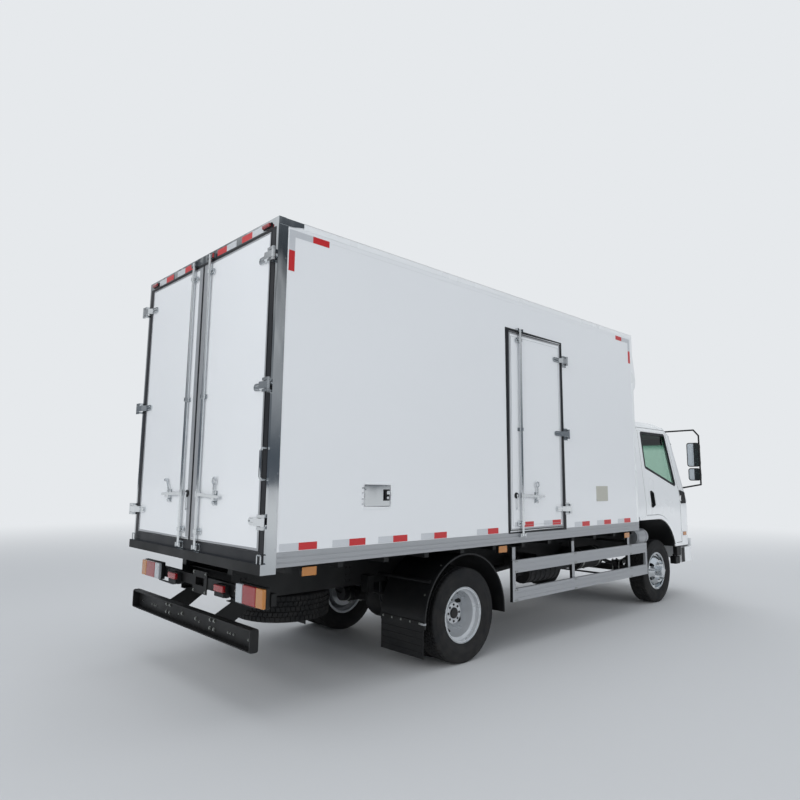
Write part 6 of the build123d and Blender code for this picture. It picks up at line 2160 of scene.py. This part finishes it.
    def bumper(self) -> None:
        """Bumper with fog lamps, blank plate and black ends."""
        lay = self.layout
        draft = Draft().cad("front_bumper", Look.PAINT, 3.5, self.bumper_look)
        for side in SIDES.values():
            for radius, back, deep, look in (
                (50.0, -6.0, 7.5, Look.PLASTIC), (40.0, 0.5, 2.0, Look.REFLECTOR), (41.0, 2.2, 4.0, Look.CLEAR_LENS),
            ):
                draft.disc((side * 640, lay.nose + back, 545), Y, radius, deep, look, deep * 0.3, 36)
            draft.box((side * 1003, lay.along(6641), 462), (side * 1008, lay.along(6742), 658), Look.PLASTIC, 2.0)
        plate = axes((0, lay.nose, 0), X, Z, Y)
        draft.slab(plate, (-228, 632, -1), (228, 752, 3), Look.PLASTIC)
        draft.slab(plate, (-220, 638, 2), (220, 746, 5), Look.PAINT)
        for x in (-150, 150):
            draft.disc(plate @ Vector((x, 692, 5)), Y, 6.0, 2.0, Look.ZINC, 1.0, 14)
        draft.place("bumper_dressed", "chassis", "cab_white", ["front_bumper"])

    def doors(self) -> None:
        """Cab doors with handles, window rubbers, door cards and panes."""
        corners = [(5700, 2196), (5716, 1742), (6556, 1500), (6392, 2196)]
        for name, side in SIDES.items():
            body = f"cab_door_{name}"
            draft = Draft().cad(body, Look.PAINT, 2.5, self.door_look)
            path = rounded([self.on_side(side, b, z) for b, z in corners], 24.0)
            out = self.side_axes(side, 6000, 1900).to_3x3() @ Vector(Z)
            section = [(-16, -9), (16, -9), (16, 1), (7, 4), (-7, 4), (-16, 1)]
            draft.sweep(path, section, Look.RUBBER, closed=True, up=out)
            handle = self.side_axes(side, 5800, 1330)
            outline = rounded([(-36, -108), (36, -108), (36, 108), (-36, 108)], 24)
            draft.prism(outline, handle @ Matrix.Translation((0, 0, -1)), 4.0, Look.PLASTIC)
            grip = [(14, -88, 2), (14, -78, 16), (14, 78, 16), (14, 88, 2)]
            draft.sweep([handle @ Vector(point) for point in grip], [(-10, -6), (10, -6), (10, 6), (-10, 6)],
                        Look.PLASTIC, up=handle.to_3x3() @ Vector(X))
            draft.disc(handle @ Vector((-16, -60, 3)), out, 9.0, 3.0, Look.CHROME, 1.0, 16)
            inner = self.form.half(1300) - self.form.wall
            for near, deep, (start, end), (low, high), look, bevel in (
                (0, 12, (5700, 6420), (1120, 1420), Look.FABRIC, 8.0),
                (8, 60, (5900, 6300), (1370, 1420), Look.TRIM, 14.0),
            ):
                draft.box((side * (inner - near), self.layout.along(start), low),
                          (side * (inner - deep), self.layout.along(end), high), look, bevel)
            draft.place(f"door_{name}", body, "cab_white", [body])
            dress(f"door_glass_{name}", Look.GLASS, 0.0, "window_glass", f"pane_{name}", body)

    def mirrors(self) -> None:
        """Mirror arms and heads with their glass."""
        draft = Draft().cad("mirrors", Look.PLASTIC, 6.0)
        y = self.layout.along(6905)
        for side in SIDES.values():
            for low, high, near in ((1770.0, 2110.0, 1040.0), (1575.0, 1750.0, 1050.0)):
                outline = rounded([
                    (side * (near + 12), low + 12), (side * 1203, low + 12), (side * 1203, high - 12),
                    (side * (near + 12), high - 12)], 26)
                draft.prism(outline, axes((0, y + 1, 0), X, Z), 3.0, Look.MIRROR)
            for z in (1830, 2050, 1660):
                draft.tube([(side * 1204, y + 30, z - 14), (side * 1204, y + 30, z + 14)], 15.0, Look.PLASTIC, steps=14)
        draft.place("mirrors_dressed", "cab", "black_plastic", ["mirrors"])

    def interior_look(self, centre: Vector, normal: Vector) -> Optional[Look]:
        """Dash and column against the seats."""
        return Look.TRIM if centre.y > self.layout.along(6125) else None

    def interior(self) -> None:
        """Seats, dash and steering wheel, with head rests, levers and a binnacle."""
        lay = self.layout
        draft = Draft().cad("cab_interior", Look.FABRIC, 12.0, self.interior_look)
        for x, wide in ((-560.0, 130.0), (170.0, 120.0), (590.0, 120.0)):
            draft.box((x - wide, lay.along(5570), 1975), (x + wide, lay.along(5650), 2110), Look.FABRIC, 30.0)
            for step in (-50, 50):
                draft.tube([(x + step, lay.along(5610), z) for z in (1940, 1990)], 6.0, Look.CHROME, steps=8)
        draft.box((-740, lay.along(6540), 1320), (-380, lay.along(6700), 1400), Look.TRIM, 26.0)
        draft.box((-180, lay.along(6510), 1200), (220, lay.along(6530), 1310), Look.PLASTIC, 8.0)
        draft.tube([(-190, lay.along(6260), 1150), (-200, lay.along(6200), 1390)], 9.0, Look.CHROME, steps=10)
        draft.disc((-200, lay.along(6200), 1385), (0, -0.1, 1), 24.0, 44.0, Look.PLASTIC, 14.0, 20)
        for end in (-1, 1):
            draft.tube(
                [(-560 + end * 30, lay.along(6370), 1470), (-560 + end * 190, lay.along(6350), 1500)], 7.0,
                Look.PLASTIC, steps=8)
        draft.place("cab_interior_dressed", "cab", "interior", ["cab_interior"])

    def build(self) -> None:
        """Make the whole cab."""
        self.shell()
        self.rubbers()
        self.lamps()
        self.bumper()
        self.doors()
        self.mirrors()
        self.interior()
        dress("cab_glass", Look.GLASS, 0.0, "window_glass", "cab_panes", "cab")


@dataclass(frozen=True)
class Shot:
    """The photo's camera, fitted to the box's corners, wheels, door and side guard.

    Attributes:
        x: Place across the truck, m.
        y: Place along it, m.
        z: Height, m.
        yaw: Turn to the left of straight ahead, radians.
        pitch: Tilt upwards, radians.
        roll: Lean, radians.
        focal_px: Focal length in pixels of an image 800 wide.
        centre_px: Pixel that the optical axis meets, across and down.
        image_px: Width of the image in pixels, and its height.
    """

    x: float = 4.76392
    y: float = -5.74749
    z: float = 1.5589
    yaw: float = 0.80967
    pitch: float = 0.14062
    roll: float = 0.00939
    focal_px: float = 623.887
    centre_px: tuple[float, float] = (406.016, 390.717)
    image_px: float = 800.0

    def build(self) -> None:
        """Make the camera and hand it to the scene."""
        data = bpy.data.cameras.new("photo_camera")
        data.sensor_width = 36.0
        data.lens = self.focal_px / self.image_px * data.sensor_width
        data.shift_x = (self.image_px / 2 - self.centre_px[0]) / self.image_px
        data.shift_y = (self.centre_px[1] - self.image_px / 2) / self.image_px
        data.clip_end = 400.0
        camera = bpy.data.objects.new("photo_camera", data)
        bpy.context.scene.collection.objects.link(camera)
        level = math.cos(self.pitch)
        ahead = Vector((-math.sin(self.yaw) * level, math.cos(self.yaw) * level, math.sin(self.pitch)))
        right = Vector((math.cos(self.yaw), math.sin(self.yaw), 0.0))
        up = right.cross(ahead)
        leant_right = right * math.cos(self.roll) + up * math.sin(self.roll)
        leant_up = up * math.cos(self.roll) - right * math.sin(self.roll)
        matrix = Matrix((leant_right, leant_up, -ahead)).transposed().to_4x4()
        matrix.translation = Vector((self.x, self.y, self.z))
        camera.matrix_world = matrix
        bpy.context.scene.camera = camera


@dataclass(frozen=True)
class Studio:
    """Pale floor that fades into a pale backdrop, and soft light.

    Attributes:
        floor_colour: Colour of the floor.
        backdrop: Colour seen behind, and of the floor far away.
        reach: Half size of the floor, m.
        fade: Distances from the truck where the floor starts to fade and has faded, m.
    """

    floor_colour: str = "#CFD0D1"
    backdrop: str = "#E6E9EC"
    reach: float = 90.0
    fade: tuple[float, float] = (6.0, 19.0)

    def floor(self) -> None:
        """A plain pale floor that keeps the truck's shadow."""
        mesh = bpy.data.meshes.new("floor")
        reach = self.reach
        mesh.from_pydata(
            [(-reach, -reach, 0), (reach, -reach, 0), (reach, reach, 0), (-reach, reach, 0)], [], [(0, 1, 2, 3)]
        )
        material, tree, place = begun("studio_floor")
        far = add_node(tree, "ShaderNodeVectorMath", {0: place}, "Value", operation="LENGTH")
        share = add_node(
            tree, "ShaderNodeMapRange", {"Value": far, "From Min": self.fade[0], "From Max": self.fade[1]},
            interpolation_type="SMOOTHSTEP")
        near = add_node(tree, "ShaderNodeBsdfDiffuse", {"Color": linear(self.floor_colour)})
        pale = add_node(tree, "ShaderNodeEmission", {"Color": linear(self.backdrop), "Strength": 1.0})
        watched = self.any_of(tree, "Is Camera Ray", "Is Glossy Ray", "Is Transmission Ray")
        seen = add_node(tree, "ShaderNodeMath", {0: share, 1: watched}, operation="MULTIPLY")
        mix = add_node(tree, "ShaderNodeMixShader", {0: seen, 1: near, 2: pale})
        add_node(tree, "ShaderNodeOutputMaterial", {"Surface": mix})
        mesh.materials.append(material)
        floor = bpy.data.objects.new("floor", mesh)
        bpy.context.scene.collection.objects.link(floor)

    @staticmethod
    def any_of(tree: bpy.types.NodeTree, *rays: str) -> Socket:
        """One for rays of any of the given kinds, nought for the others.

        Args:
            tree: Tree that asks.
            *rays: Names of the light path's outputs.

        Returns:
            The one or nought.
        """
        path = add_node(tree, "ShaderNodeLightPath").node.outputs
        seen = path[rays[0]]
        for ray in rays[1:]:
            seen = add_node(tree, "ShaderNodeMath", {0: seen, 1: path[ray]}, operation="MAXIMUM")
        return seen

    @staticmethod
    def fading(tree: bpy.types.NodeTree, value: Socket, low: float, high: float, first: object,
               second: object) -> Socket:
        """Colour that turns from one into another as a value rises."""
        share = add_node(tree, "ShaderNodeMapRange", {"Value": value, "From Min": low, "From Max": high})
        return add_node(tree, "ShaderNodeMix", {0: share, 6: first, 7: second}, 2, data_type="RGBA")

    def world(self) -> None:
        """Pale behind for the camera, a soft sky for the light, a darker skyline in reflections."""
        world = bpy.data.worlds.new("soft_sky")
        bpy.context.scene.world = world
        world.use_nodes = True
        tree = world.node_tree
        tree.nodes.clear()
        aim = add_node(tree, "ShaderNodeTexCoord", output="Generated")
        height = add_node(tree, "ShaderNodeSeparateXYZ", {"Vector": aim}, "Z")
        clouds = add_node(tree, "ShaderNodeTexNoise", {"Vector": aim, "Scale": 2.6, "Detail": 2.0}, "Fac")
        broken = self.fading(tree, clouds, 0.42, 0.56, linear("#3C4248"), linear("#F4F7FA"))
        skyline = self.fading(tree, height, 0.04, 0.3, linear("#59616A"), broken)
        sky = self.fading(tree, height, 0.35, 0.75, skyline, linear("#C9D1D9"))
        seen, lit, shine = (
            add_node(tree, "ShaderNodeBackground", {"Color": colour, "Strength": strength})
            for colour, strength in ((linear(self.backdrop), 1.0), (linear("#DDE4EC"), 0.62), (sky, 1.0)))
        glossy, plain = self.any_of(tree, "Is Glossy Ray"), self.any_of(tree, "Is Camera Ray", "Is Transmission Ray")
        mirrored = add_node(tree, "ShaderNodeMixShader", {0: glossy, 1: lit, 2: shine})
        final = add_node(tree, "ShaderNodeMixShader", {0: plain, 1: mirrored, 2: seen})
        add_node(tree, "ShaderNodeOutputWorld", {"Surface": final})

    def light(self, name: str, place: Point, aim: Point, size: tuple[float, float], power: float) -> None:
        """One soft panel of light.

        Args:
            name: Name of the light.
            place: Where it stands.
            aim: Point that it faces.
            size: Its width and height, m.
            power: Its power, W.
        """
        data = bpy.data.lights.new(name, "AREA")
        data.shape = "RECTANGLE"
        data.size, data.size_y = size
        data.energy = power
        lamp = bpy.data.objects.new(name, data)
        lamp.location = place
        lamp.visible_glossy = False
        lamp.rotation_euler = (Vector(aim) - Vector(place)).to_track_quat("-Z", "Y").to_euler()
        bpy.context.scene.collection.objects.link(lamp)

    def build(self) -> None:
        """Make the studio."""
        self.floor()
        self.world()
        self.light("overhead", (0.0, 0.0, 13.0), (0.0, 0.0, 0.0), (12.0, 18.0), 520.0)
        self.light("rear", (4.0, -15.0, 6.0), (0.0, -2.0, 1.8), (10.0, 6.0), 760.0)
        self.light("right", (15.0, 5.0, 5.0), (0.0, 1.5, 1.5), (14.0, 6.0), 560.0)
        self.light("front_left", (-11.0, 11.0, 6.0), (0.0, 1.0, 1.5), (12.0, 6.0), 900.0)
        bpy.context.scene.view_settings.view_transform = "Standard"


def main() -> None:
    """Dress the truck, light it and aim the camera."""
    logging.basicConfig(level=logging.INFO)
    layout = Layout.from_frame()
    Running(layout).build()
    Box(layout).build()
    Cab(layout).build()
    Studio().build()
    Shot().build()
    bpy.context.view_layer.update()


if __name__ == "__main__":
    main()
